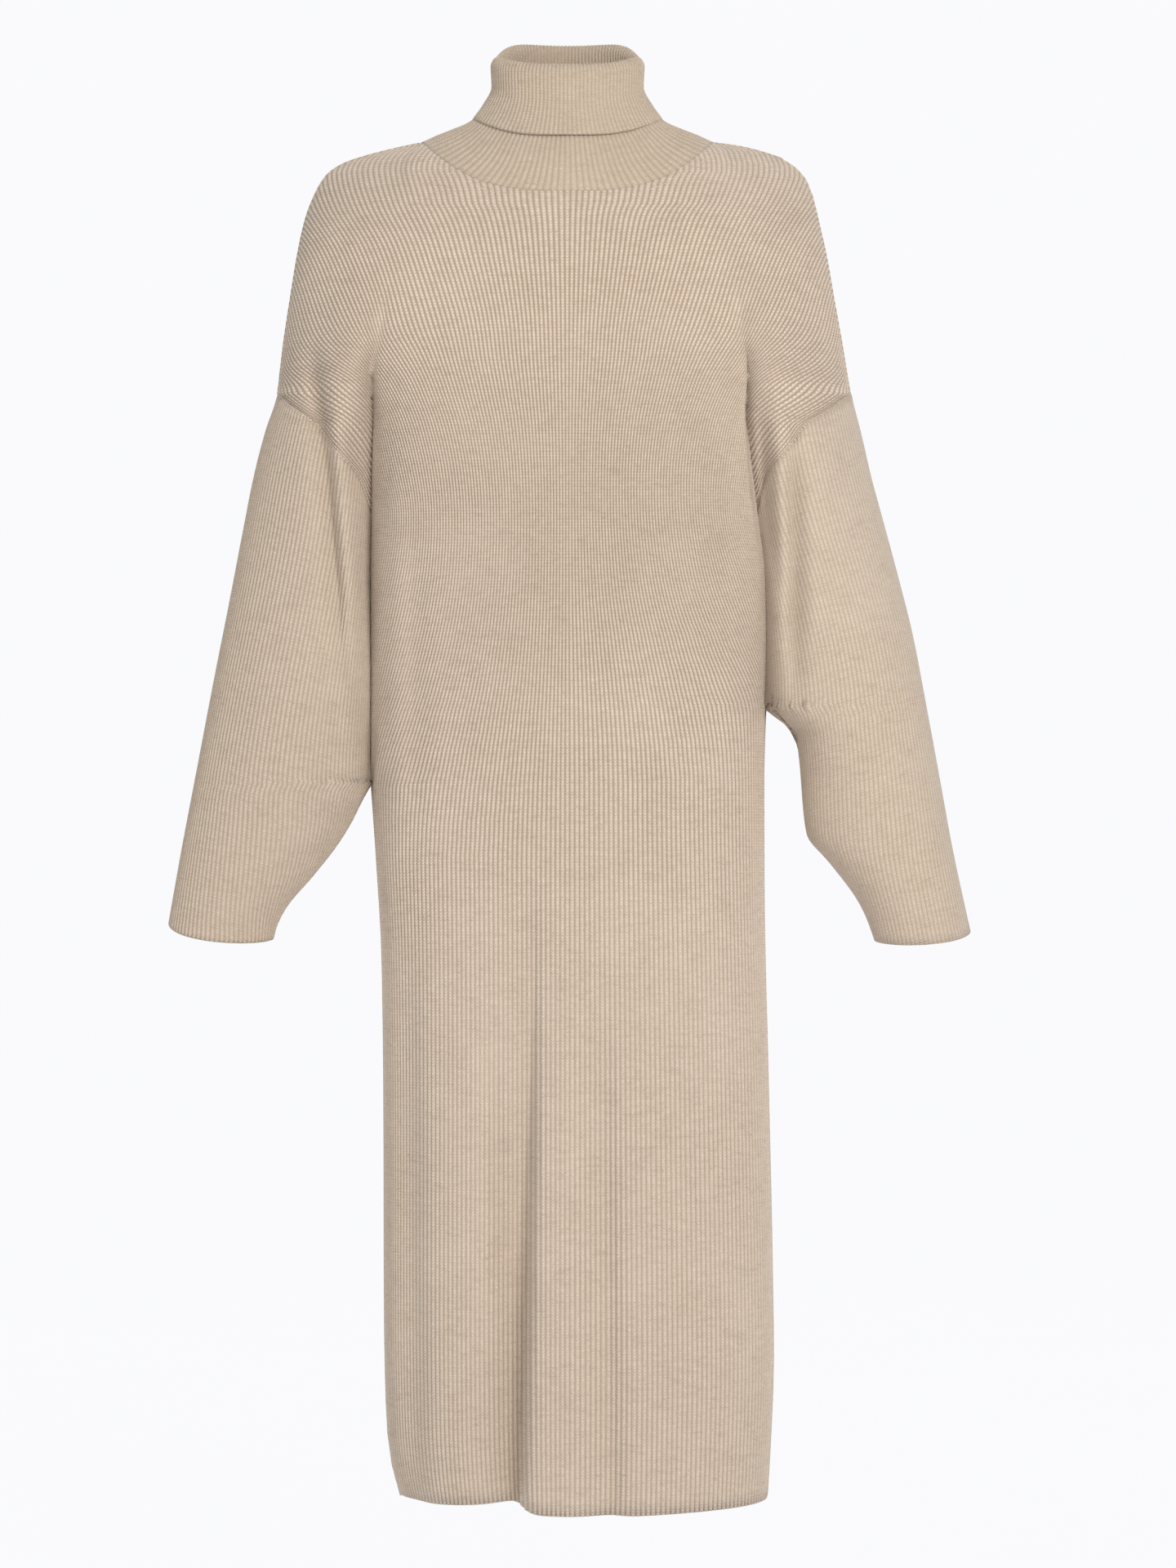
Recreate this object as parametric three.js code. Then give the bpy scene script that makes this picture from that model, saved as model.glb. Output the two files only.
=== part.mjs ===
// A long roll-neck sweater dress in ribbed knit, worn by nobody and filled out, in millimetres.
// X runs to the wearer's left, Y to the back and Z up. The origin is between the shoulders at the
// base of the neck, where the dress hangs on its wearer.
import * as THREE from 'three';

// Driving dimensions of the cloth
const WALL = 2.0;              // knit between two ribs
const RIB_HEIGHT = 0.9;        // how far a rib stands out of it
const SEAM_GAP = 0.3;          // space between two pieces that are sewn together
const ARMHOLE_GAP = 0.45;      // the same where the seam turns in the fold beside the body
const RIBS_NECK = 26;          // ribs from the centre line to the neck corner
const RIBS_SIDE = 52;          // ribs from the centre line to the side seam
const RIBS_PANEL = 78;         // ribs from the centre line to the edge on the arm
const RIBS_SLEEVE = 54;        // ribs from the overarm to the underarm, front or back
const RIBS_CUFF = 34;          // those of them that reach the cuff
const RIBS_DIVE = 45;          // those of them that start on the open part of the armhole

// Driving dimensions of the mesh: a raised column stands for two or three real ribs
const COLUMNS_PANEL = 60;      // columns from the centre line to the arm, on each side
const COLUMNS_SIDE = 40;       // columns from the centre line to the side seam
const COLUMNS_NECK = 20;       // columns from the centre line to the neck corner
const COLUMNS_ARM = 34;        // sleeve columns on the open part of the armhole
const ROWS_UPPER = 9;
const ROWS_LOWER = 7;
const ROWS_SLEEVE = 7;
const COLUMNS_COLLAR = 68;
const RIBS_A_COLUMN = RIBS_SIDE / COLUMNS_SIDE;

// Neck opening
const NECK_HALF_WIDTH = 125;
const NECK_FRONT_DROP = 49;    // the front edge hangs lower than the corners
const NECK_BACK_RISE = 8;
const NECK_FRONT_DEPTH = 76;
const NECK_BACK_DEPTH = 62;
const SHOULDER_TOP = 1;        // height of the neck corners

// Armhole: where its seam leaves the overarm and where it dives into the fold beside the body
const ARMHOLE_TOP = -213;
const ARMHOLE_DIVE = -320;
const ARCH_HEIGHT = 90;        // how far above the underarm the gap between body and sleeve rounds off

// Depth of the body, front and back of the side seams
const DEPTH = [
  { z: 5, front: 58, back: 60 },
  { z: -27, front: 78, back: 76 },
  { z: -64, front: 92, back: 86 },
  { z: -100, front: 100, back: 92 },
  { z: -166, front: 106, back: 98 },
  { z: -250, front: 106, back: 96 },
  { z: -340, front: 98, back: 88 },
  { z: -440, front: 90, back: 84 },
  { z: -545, front: 90, back: 88 },
  { z: -700, front: 96, back: 100 },
  { z: -900, front: 98, back: 103 },
  { z: -1170, front: 100, back: 104 },
];

// The fold between body and arm: its depth as a share of the body's, and the arm's own swell
const FOLD = [
  { z: 5, share: 1, swell: 30 },
  { z: -64, share: 1, swell: 36 },
  { z: -95, share: 0.97, swell: 36 },
  { z: -130, share: 0.9, swell: 35 },
  { z: -166, share: 0.8, swell: 34 },
  { z: -213, share: 0.64, swell: 36 },
  { z: -250, share: 0.56, swell: 38 },
  { z: -320, share: 0.5, swell: 40 },
  { z: -400, share: 0.45, swell: 40 },
  { z: -480, share: 0.42, swell: 43 },
  { z: -545, share: 0.42, swell: 44 },
  { z: -600, share: 0.42, swell: 40 },
  { z: -690, share: 0.42, swell: 32 },
];

// Upper part, one table for each side: the outline over the arm, the fold or side of the body,
// and the rib that lies on each of them
const SHOULDER = {
  right: [
    { z: 1, outer: 125, side: 105, ribSide: 21.7, ribOuter: 26 },
    { z: -4, outer: 148, side: 122, ribSide: 25, ribOuter: 30.6 },
    { z: -11, outer: 175, side: 138, ribSide: 27.3, ribOuter: 35 },
    { z: -17.5, outer: 193, side: 144, ribSide: 28.7, ribOuter: 38 },
    { z: -27, outer: 206, side: 148, ribSide: 29.6, ribOuter: 40.5 },
    { z: -45, outer: 216.5, side: 150, ribSide: 30.5, ribOuter: 44 },
    { z: -64, outer: 223.5, side: 150, ribSide: 31.8, ribOuter: 47.8 },
    { z: -95, outer: 230.3, side: 150, ribSide: 34.5, ribOuter: 55 },
    { z: -130, outer: 236, side: 152, ribSide: 37.5, ribOuter: 61.5 },
    { z: -166, outer: 241.5, side: 157, ribSide: 42, ribOuter: 68 },
    { z: -190, outer: 244.5, side: 160, ribSide: 49, ribOuter: 73 },
    { z: -213, outer: 247.3, side: 162, ribSide: 57, ribOuter: 78 },
    { z: -246, outer: 258, side: 164, ribSide: 66, ribOuter: 78 },
    { z: -285, outer: 268, side: 165.5, ribSide: 72.5, ribOuter: 78 },
    { z: -320, outer: 275, side: 166, ribSide: 78, ribOuter: 78 },
    { z: -393, outer: 289, side: 167, ribSide: 70, ribOuter: 78 },
    { z: -456, outer: 301.5, side: 167, ribSide: 62.3, ribOuter: 78 },
    { z: -545, outer: 318.5, side: 167, ribSide: 52, ribOuter: 78 },
    { z: -600, outer: 329, side: 164.5, ribSide: 52, ribOuter: 78 },
    { z: -690, outer: 345, side: 160.5, ribSide: 52, ribOuter: 78 },
  ],
  left: [
    { z: 1, outer: 125, side: 105, ribSide: 21.7, ribOuter: 26 },
    { z: -2.5, outer: 149, side: 122, ribSide: 25, ribOuter: 30.6 },
    { z: -8, outer: 170, side: 136, ribSide: 27.3, ribOuter: 34 },
    { z: -13, outer: 184, side: 142, ribSide: 28.7, ribOuter: 36.8 },
    { z: -21, outer: 196, side: 145, ribSide: 29.3, ribOuter: 39 },
    { z: -32, outer: 204.5, side: 147, ribSide: 30, ribOuter: 41.3 },
    { z: -50, outer: 210, side: 148, ribSide: 31, ribOuter: 44.6 },
    { z: -73, outer: 215.5, side: 147, ribSide: 32.4, ribOuter: 49.8 },
    { z: -98, outer: 221, side: 146, ribSide: 34.5, ribOuter: 55.4 },
    { z: -130, outer: 226.5, side: 144, ribSide: 37.5, ribOuter: 61.5 },
    { z: -166, outer: 233, side: 144, ribSide: 42, ribOuter: 68 },
    { z: -190, outer: 237, side: 146, ribSide: 49, ribOuter: 73 },
    { z: -213, outer: 241, side: 148.5, ribSide: 57, ribOuter: 78 },
    { z: -246, outer: 249.5, side: 152, ribSide: 66, ribOuter: 78 },
    { z: -285, outer: 258.5, side: 156.5, ribSide: 72.5, ribOuter: 78 },
    { z: -320, outer: 268, side: 161, ribSide: 78, ribOuter: 78 },
    { z: -372, outer: 282, side: 167.5, ribSide: 69.6, ribOuter: 78 },
    { z: -420, outer: 294, side: 169, ribSide: 61.8, ribOuter: 78 },
    { z: -480, outer: 305.5, side: 168.7, ribSide: 52, ribOuter: 78 },
    { z: -545, outer: 317.5, side: 166.7, ribSide: 52, ribOuter: 78 },
    { z: -600, outer: 327.5, side: 166.5, ribSide: 52, ribOuter: 78 },
    { z: -690, outer: 347, side: 167.5, ribSide: 52, ribOuter: 78 },
  ],
};

// The armhole seam between its top and its dive: its place round the arm, 1 in the fold and 2 on top
const ARMHOLE = [
  { z: -213, turn: 2 },
  { z: -218, turn: 1.84 },
  { z: -224.7, turn: 1.73 },
  { z: -234.5, turn: 1.6 },
  { z: -243, turn: 1.5 },
  { z: -256, turn: 1.42 },
  { z: -270, turn: 1.33 },
  { z: -285, turn: 1.21 },
  { z: -305, turn: 1.1 },
  { z: -320, turn: 1 },
];

// Below the underarm: the sleeve's inner edge and how many ribs lie between it and the overarm
const SLEEVE = {
  right: {
    underarm: -545,
    cuffTop: -666,
    cuffEnd: -680,
    cuffSag: 9,
    rows: [
      { z: -213, inner: 162, ribs: 42 },
      { z: -320, inner: 166, ribs: 45 },
      { z: -545, inner: 167, ribs: 54 },
      { z: -552, inner: 171.5, ribs: 54 },
      { z: -562, inner: 177, ribs: 53 },
      { z: -580, inner: 186, ribs: 50.5 },
      { z: -600, inner: 198.5, ribs: 47.5 },
      { z: -626, inner: 219, ribs: 42.7 },
      { z: -652, inner: 241, ribs: 37.5 },
      { z: -668, inner: 249.5, ribs: 35.2 },
      { z: -680, inner: 253, ribs: 34 },
      { z: -692, inner: 256, ribs: 33.4 },
    ],
  },
  left: {
    underarm: -480,
    cuffTop: -673,
    cuffEnd: -681,
    cuffSag: 7,
    rows: [
      { z: -213, inner: 148.5, ribs: 42 },
      { z: -320, inner: 161, ribs: 45 },
      { z: -480, inner: 168.7, ribs: 54 },
      { z: -485, inner: 174, ribs: 54 },
      { z: -494, inner: 186, ribs: 51 },
      { z: -503, inner: 196.5, ribs: 48.2 },
      { z: -535, inner: 201, ribs: 47.2 },
      { z: -564, inner: 203, ribs: 46.4 },
      { z: -590, inner: 206.5, ribs: 45.4 },
      { z: -613, inner: 225, ribs: 41 },
      { z: -648, inner: 251, ribs: 36 },
      { z: -668, inner: 260.5, ribs: 34.5 },
      { z: -681, inner: 264.5, ribs: 34 },
      { z: -692, inner: 267, ribs: 33.6 },
    ],
  },
};

// The skirt's side seams below the underarm
const SKIRT = {
  right: [
    { z: -545, side: 167 },
    { z: -610, side: 162.5 },
    { z: -700, side: 157.5 },
    { z: -820, side: 156 },
    { z: -1000, side: 155.5 },
    { z: -1090, side: 153.5 },
    { z: -1130, side: 149 },
    { z: -1160, side: 141 },
  ],
  left: [
    { z: -480, side: 168.7 },
    { z: -540, side: 166.7 },
    { z: -640, side: 167 },
    { z: -800, side: 170.5 },
    { z: -960, side: 174 },
    { z: -1040, side: 175 },
    { z: -1110, side: 172.5 },
    { z: -1160, side: 169.5 },
  ],
};

// The front hem, by rib
const HEM = [
  { rib: -52, z: -1153 },
  { rib: -34, z: -1155 },
  { rib: -13, z: -1153 },
  { rib: -6, z: -1160 },
  { rib: 8, z: -1162 },
  { rib: 34, z: -1159 },
  { rib: 52, z: -1157 },
];
const HEM_BACK = -1157;

// Largest folds: troughs along a line of places on the front view, with the width on each side
const FRONT_FOLDS = [
  { name: 'skirt roll', x: [-27, -31, -36, -42], z: [-560, -860, -1000, -1165], depth: 24, right: 24, left: 7 },
  { name: 'skirt roll crest', x: [-8, -12, -18], z: [-600, -880, -1165], depth: -7, right: 13, left: 28 },
  { name: 'short skirt trough', x: [-64, -58, -53], z: [-700, -850, -1010], depth: 10, right: 10, left: 9 },
  { name: 'middle trough', x: [27, 31, 36], z: [-640, -900, -1165], depth: 10, right: 20, left: 13 },
  { name: 'side trough', x: [-134, -132, -128], z: [-560, -860, -1165], depth: 10, right: 15, left: 12 },
  { name: 'body trough', x: [-126, -127, -128], z: [-280, -400, -560], depth: 4, right: 12, left: 12 },
  { name: 'right arm', x: [-211, -202, -194, -189], z: [-195, -268, -380, -455], depth: 9, right: 10, left: 7 },
  { name: 'right armpit', x: [-182, -170, -172], z: [-268, -350, -440], depth: 6, right: 7, left: 7 },
  { name: 'left arm', x: [188, 190, 192, 194], z: [-215, -291, -372, -505], depth: 10, right: 7, left: 9 },
  { name: 'left armpit', x: [163, 172, 184], z: [-224, -325, -400], depth: 5, right: 7, left: 7 },
];
const BACK_FOLDS = [
  { name: 'back skirt roll', x: [40, 44, 48], z: [-640, -880, -1165], depth: 12, right: 9, left: 20 },
  { name: 'back soft trough', x: [-52, -56, -60], z: [-700, -900, -1165], depth: 7, right: 18, left: 16 },
  { name: 'back side trough', x: [128, 130, 131], z: [-620, -900, -1165], depth: 5, right: 12, left: 12 },
  { name: 'right arm back', x: [-212, -205, -197], z: [-205, -300, -440], depth: 8, right: 9, left: 8 },
  { name: 'left arm back', x: [192, 196, 200], z: [-215, -320, -480], depth: 8, right: 8, left: 9 },
];

// The roll collar from the neck seam up, over and down again: half widths at the sides, front and back,
// and the height there
const COLLAR = [
  { side: 125, front: 76.0, back: 62.0, zSide: 1.6, zFront: -47.5, zBack: 9.5 },
  { side: 112, front: 73.5, back: 59.0, zSide: 6.5, zFront: -38, zBack: 16 },
  { side: 98, front: 69.5, back: 55.5, zSide: 12, zFront: -25, zBack: 24 },
  { side: 85, front: 62.5, back: 52.0, zSide: 17.5, zFront: -9, zBack: 33 },
  { side: 70, front: 53.0, back: 49.0, zSide: 30, zFront: 10, zBack: 46 },
  { side: 59, front: 47.0, back: 46.5, zSide: 50, zFront: 33, zBack: 66 },
  { side: 57.5, front: 45.5, back: 46.0, zSide: 67, zFront: 54, zBack: 84 },
  { side: 60.8, front: 48.8, back: 49.2, zSide: 73.5, zFront: 62, zBack: 91 },
  { side: 64.3, front: 52.5, back: 52.5, zSide: 67, zFront: 54, zBack: 84 },
  { side: 63.5, front: 52.5, back: 52.0, zSide: 50, zFront: 34, zBack: 67 },
  { side: 71, front: 56.5, back: 54.0, zSide: 34, zFront: 15, zBack: 54 },
  { side: 80.5, front: 61.5, back: 58.0, zSide: 21, zFront: 2, zBack: 45 },
];
const COLLAR_TOP = 7;          // the row at the top of the fold
const COLLAR_WALL = 1.8;

const FOLD_ROOM = 2.4;         // how far the arm keeps off the body next to the bottom of the fold
const FOLD_PLAIN = [5, 16];    // distances from it over which the ribs set in
const FOLD_STARTS = [-100, -240]; // heights between which the fold beside the body sets in
const SOFTEN = [-60, -30, 0, 30, 60]; // heights over which the underarm's effect on the body is evened out
const SHOULDER_POWER = 2.2;
const MID_BODY = 2.4;          // power of the body's rounded section: 2 is an ellipse, more is squarer
const SIDE_NAMES = { '-1': 'right', 1: 'left' };

// Reads one column of a table whose key falls from row to row, smoothly between rows
function lookup(table, column, key, at) {
  const n = table.length;
  const rising = table[n - 1][key] > table[0][key];
  const t = rising ? at : -at;
  const k = (i) => (rising ? table[i][key] : -table[i][key]);
  if (t <= k(0)) return table[0][column];
  if (t >= k(n - 1)) return table[n - 1][column];
  let i = 0;
  while (k(i + 1) < t) i++;
  const slope = (j) => (table[j + 1][column] - table[j][column]) / (k(j + 1) - k(j));
  const tangent = (j) => {
    if (j === 0) return slope(0);
    if (j === n - 1) return slope(n - 2);
    const a = slope(j - 1);
    const b = slope(j);
    return a * b <= 0 ? 0 : (2 * a * b) / (a + b);
  };
  const h = k(i + 1) - k(i);
  const s = (t - k(i)) / h;
  const s2 = s * s;
  const s3 = s2 * s;
  return (
    (2 * s3 - 3 * s2 + 1) * table[i][column] +
    (s3 - 2 * s2 + s) * h * tangent(i) +
    (3 * s2 - 2 * s3) * table[i + 1][column] +
    (s3 - s2) * h * tangent(i + 1)
  );
}

const smooth = (a, b, t) => {
  const s = Math.min(1, Math.max(0, (t - a) / (b - a)));
  return s * s * (3 - 2 * s);
};
const mix = (a, b, t) => a + (b - a) * t;
const roundOff = (s) => Math.sqrt(Math.max(0, 1 - (1 - Math.min(1, Math.max(0, s))) ** 2));

// Finds the height between two heights where a function of height reaches a value
function solveHeight(f, value, top, bottom) {
  const rising = f(bottom) > f(top);
  let a = top;
  let b = bottom;
  for (let i = 0; i < 40; i++) {
    const m = (a + b) / 2;
    if (f(m) < value === rising) a = m;
    else b = m;
  }
  return (a + b) / 2;
}

// How far the folds draw the cloth in at a place on the front view
function foldDepth(folds, x, z) {
  let sum = 0;
  for (const fold of folds) {
    const top = fold.z[0];
    const end = fold.z[fold.z.length - 1];
    if (z > top || z < end) continue;
    let i = 0;
    while (z < fold.z[i + 1] && i < fold.z.length - 2) i++;
    const s = (z - fold.z[i]) / (fold.z[i + 1] - fold.z[i]);
    const off = x - mix(fold.x[i], fold.x[i + 1], s);
    const width = off < 0 ? fold.right : fold.left;
    const fadeIn = smooth(0, 0.35, (top - z) / (top - end));
    const fadeOut = end < -1150 ? 1 : 1 - smooth(0.7, 1, (top - z) / (top - end));
    sum += fold.depth * fadeIn * fadeOut * Math.exp(-((off / width) ** 2));
  }
  return sum;
}

// Place along a quarter of a rounded section, by share of its length, as shares of width and depth
function roundedSection(width, depth, share) {
  const steps = 36;
  const at = (i) => {
    const a = (i / steps) * (Math.PI / 2);
    return [Math.sin(a) ** (2 / MID_BODY), Math.cos(a) ** (2 / MID_BODY)];
  };
  const lengths = [0];
  for (let i = 1; i <= steps; i++) {
    const [x0, y0] = at(i - 1);
    const [x1, y1] = at(i);
    lengths.push(lengths[i - 1] + Math.hypot((x1 - x0) * width, (y1 - y0) * depth));
  }
  const goal = Math.min(1, Math.max(0, share)) * lengths[steps];
  let i = 1;
  while (i < steps && lengths[i] < goal) i++;
  const s = (goal - lengths[i - 1]) / (lengths[i] - lengths[i - 1]);
  const [x0, y0] = at(i - 1);
  const [x1, y1] = at(i);
  return [mix(x0, x1, s), mix(y0, y1, s)];
}

const softened = (f, z) => SOFTEN.reduce((sum, step) => sum + f(z + step), 0) / SOFTEN.length;

// Depth of the fold between body and arm
function notchAt(name, face, z) {
  const underarm = SLEEVE[name].underarm;
  if (z < underarm) return 0;
  const arch = roundOff((z - underarm) / ARCH_HEIGHT);
  return lookup(DEPTH, face, 'z', z) * lookup(FOLD, 'share', 'z', z) * arch;
}

// Point of the garment's outer face: turn 0 is the centre line, 1 the fold or side seam, 2 the overarm.
// Over the shoulders one rounded section runs from arm to arm, and lower down the fold parts them.
function surfacePoint(hand, face, turn, z, onSleeve = false) {
  const name = SIDE_NAMES[hand];
  const sleeve = SLEEVE[name];
  const above = z >= sleeve.underarm;
  const depth = lookup(DEPTH, face, 'z', z);
  const rows = above ? SHOULDER[name] : SKIRT[name];
  const side = lookup(rows, 'side', 'z', z);
  const atFold = notchAt(name, face, z);
  const notch = turn < 1 && !onSleeve
    ? mix(softened((h) => notchAt(name, face, h), z), atFold, smooth(0.5, 1, turn))
    : atFold;
  let x;
  let y;
  const outer = lookup(SHOULDER[name], 'outer', 'z', z);
  if (turn <= 1 && !onSleeve) {
    const [across, deep] = roundedSection(side, depth - notch, turn);
    x = side * across;
    y = notch + (depth - notch) * deep;
  } else {
    const inner = (above ? side : lookup(sleeve.rows, 'inner', 'z', z)) + (onSleeve ? ARMHOLE_GAP : 0);
    const swell = lookup(FOLD, 'swell', 'z', z);
    const a = (turn - 1) * Math.PI;
    const room = FOLD_ROOM * smooth(0, 0.09, turn - 1) * (1 + Math.cos(a)) / 2;
    x = inner + ((outer - inner) * (1 - Math.cos(a))) / 2 + (above ? room : 0);
    y = swell * Math.sin(a) + (notch * (1 + Math.cos(a))) / 2;
  }
  const wholeness = smooth(FOLD_STARTS[1], FOLD_STARTS[0], z);
  const part = lookup(SHOULDER[name], 'ribSide', 'z', z) / lookup(SHOULDER[name], 'ribOuter', 'z', z);
  const out = turn <= 1 ? turn * part : mix(part, 1, turn - 1);
  x = mix(x, outer * out * (1.06 - 0.06 * out ** 3), wholeness);
  y = mix(y, depth * Math.max(0, 1 - (x / outer) ** SHOULDER_POWER) ** (1 / SHOULDER_POWER), wholeness);
  const folds = face === 'front' ? FRONT_FOLDS : BACK_FOLDS;
  const hold = smooth(0, 30, y);
  y -= hold * foldDepth(folds, hand * x, z);
  return [hand * x, face === 'front' ? -y : y, z];
}

// Share of its height that a rib has at a place: none at the bottom of the fold beside the body
function ribShare(hand, face, point) {
  const name = SIDE_NAMES[hand];
  const underarm = SLEEVE[name].underarm;
  if (point.z > FOLD_STARTS[0]) return 1;
  const z = Math.max(point.z, underarm);
  const notch = notchAt(name, face, z);
  const across = Math.abs(point.x) - lookup(SHOULDER[name], 'side', 'z', z);
  const down = Math.max(0, underarm - point.z);
  return smooth(FOLD_PLAIN[0], FOLD_PLAIN[1], Math.hypot(across, Math.abs(point.y) - notch, down));
}

// The turn at which a rib of a body panel lies at a height
function ribTurn(hand, rib, z) {
  const name = SIDE_NAMES[hand];
  const ribsTo = (h) => (h < SLEEVE[name].underarm ? RIBS_SIDE : lookup(SHOULDER[name], 'ribSide', 'z', h));
  const atSide = ribsTo(z);
  if (rib <= atSide) return rib / mix(softened(ribsTo, z), atSide, smooth(0.5, 1, rib / atSide));
  if (z < SLEEVE[name].underarm) return 1;
  const atOuter = lookup(SHOULDER[name], 'ribOuter', 'z', z);
  const cutOff = 2 - (z > ARMHOLE_TOP ? 2 : lookup(ARMHOLE, 'turn', 'z', z));
  const past = Math.min(1, (rib - atSide) / Math.max(0.01, atOuter - atSide));
  const squeeze = Math.min(10, Math.max(1, 0.9 / Math.max(0.01, cutOff)));
  return 1 + past - cutOff * past ** squeeze;
}

// Where a rib of a panel starts: on the neck edge, the shoulder line or the overarm
function ribStart(hand, rib, face) {
  const name = SIDE_NAMES[hand];
  if (rib < RIBS_NECK) {
    const r = rib / RIBS_NECK;
    const across = r * (1.08 - 0.08 * r * r);
    const x = NECK_HALF_WIDTH * across;
    const deep = (1 - across ** 2.2) ** (1 / 2.2);
    if (face === 'front') {
      const z = SHOULDER_TOP - NECK_FRONT_DROP * (1 - across ** 3);
      return [hand * x, -NECK_FRONT_DEPTH * deep, z];
    }
    return [hand * x, NECK_BACK_DEPTH * deep, SHOULDER_TOP + NECK_BACK_RISE * (1 - across ** 2)];
  }
  const at = (z) => lookup(SHOULDER[name], 'ribOuter', 'z', z);
  const z = rib >= RIBS_PANEL ? ARMHOLE_TOP : solveHeight(at, rib, SHOULDER_TOP, ARMHOLE_TOP);
  return [hand * lookup(SHOULDER[name], 'outer', 'z', z), 0, z];
}

// Where it leaves the upper part: on the level of the underarms, or on the armhole seam in the fold
function ribWaist(hand, rib) {
  const right = SLEEVE.right.underarm;
  const left = SLEEVE.left.underarm;
  if (rib <= RIBS_SIDE) return mix(right, left, (hand * rib + RIBS_SIDE) / (2 * RIBS_SIDE));
  const share = (rib - RIBS_SIDE) / (RIBS_PANEL - RIBS_SIDE);
  return mix(SLEEVE[SIDE_NAMES[hand]].underarm, ARMHOLE_DIVE, share);
}

// Point of a body panel's upper part: share 0 is the rib's start and 1 the underarm level
function upperPoint(hand, rib, share, face) {
  const start = ribStart(hand, rib, face);
  const end = ribWaist(hand, rib);
  const z = mix(start[2], end, share ** 1.8);
  const fall = start[2] - z;
  const here = surfacePoint(hand, face, ribTurn(hand, rib, z), z);
  const first = surfacePoint(hand, face, ribTurn(hand, rib, start[2]), start[2]);
  const keep = Math.exp(-((fall / 70) ** 2));
  const x = here[0] + (start[0] - first[0]) * keep;
  const round = 90 * (1 - smooth(36, 50, rib));
  const y = round < 1 ? here[1] : mix(start[1], here[1], roundOff(fall / round));
  return new THREE.Vector3(x, y, z);
}

// Point of its lower part, from the underarm level to the hem
function lowerPoint(hand, rib, share, face) {
  const hem = face === 'front' ? lookup(HEM, 'z', 'rib', hand * rib) : HEM_BACK;
  const z = mix(ribWaist(hand, rib), hem, share);
  const [x, y] = surfacePoint(hand, face, ribTurn(hand, rib, z), z);
  return new THREE.Vector3(x, y, z);
}

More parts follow.
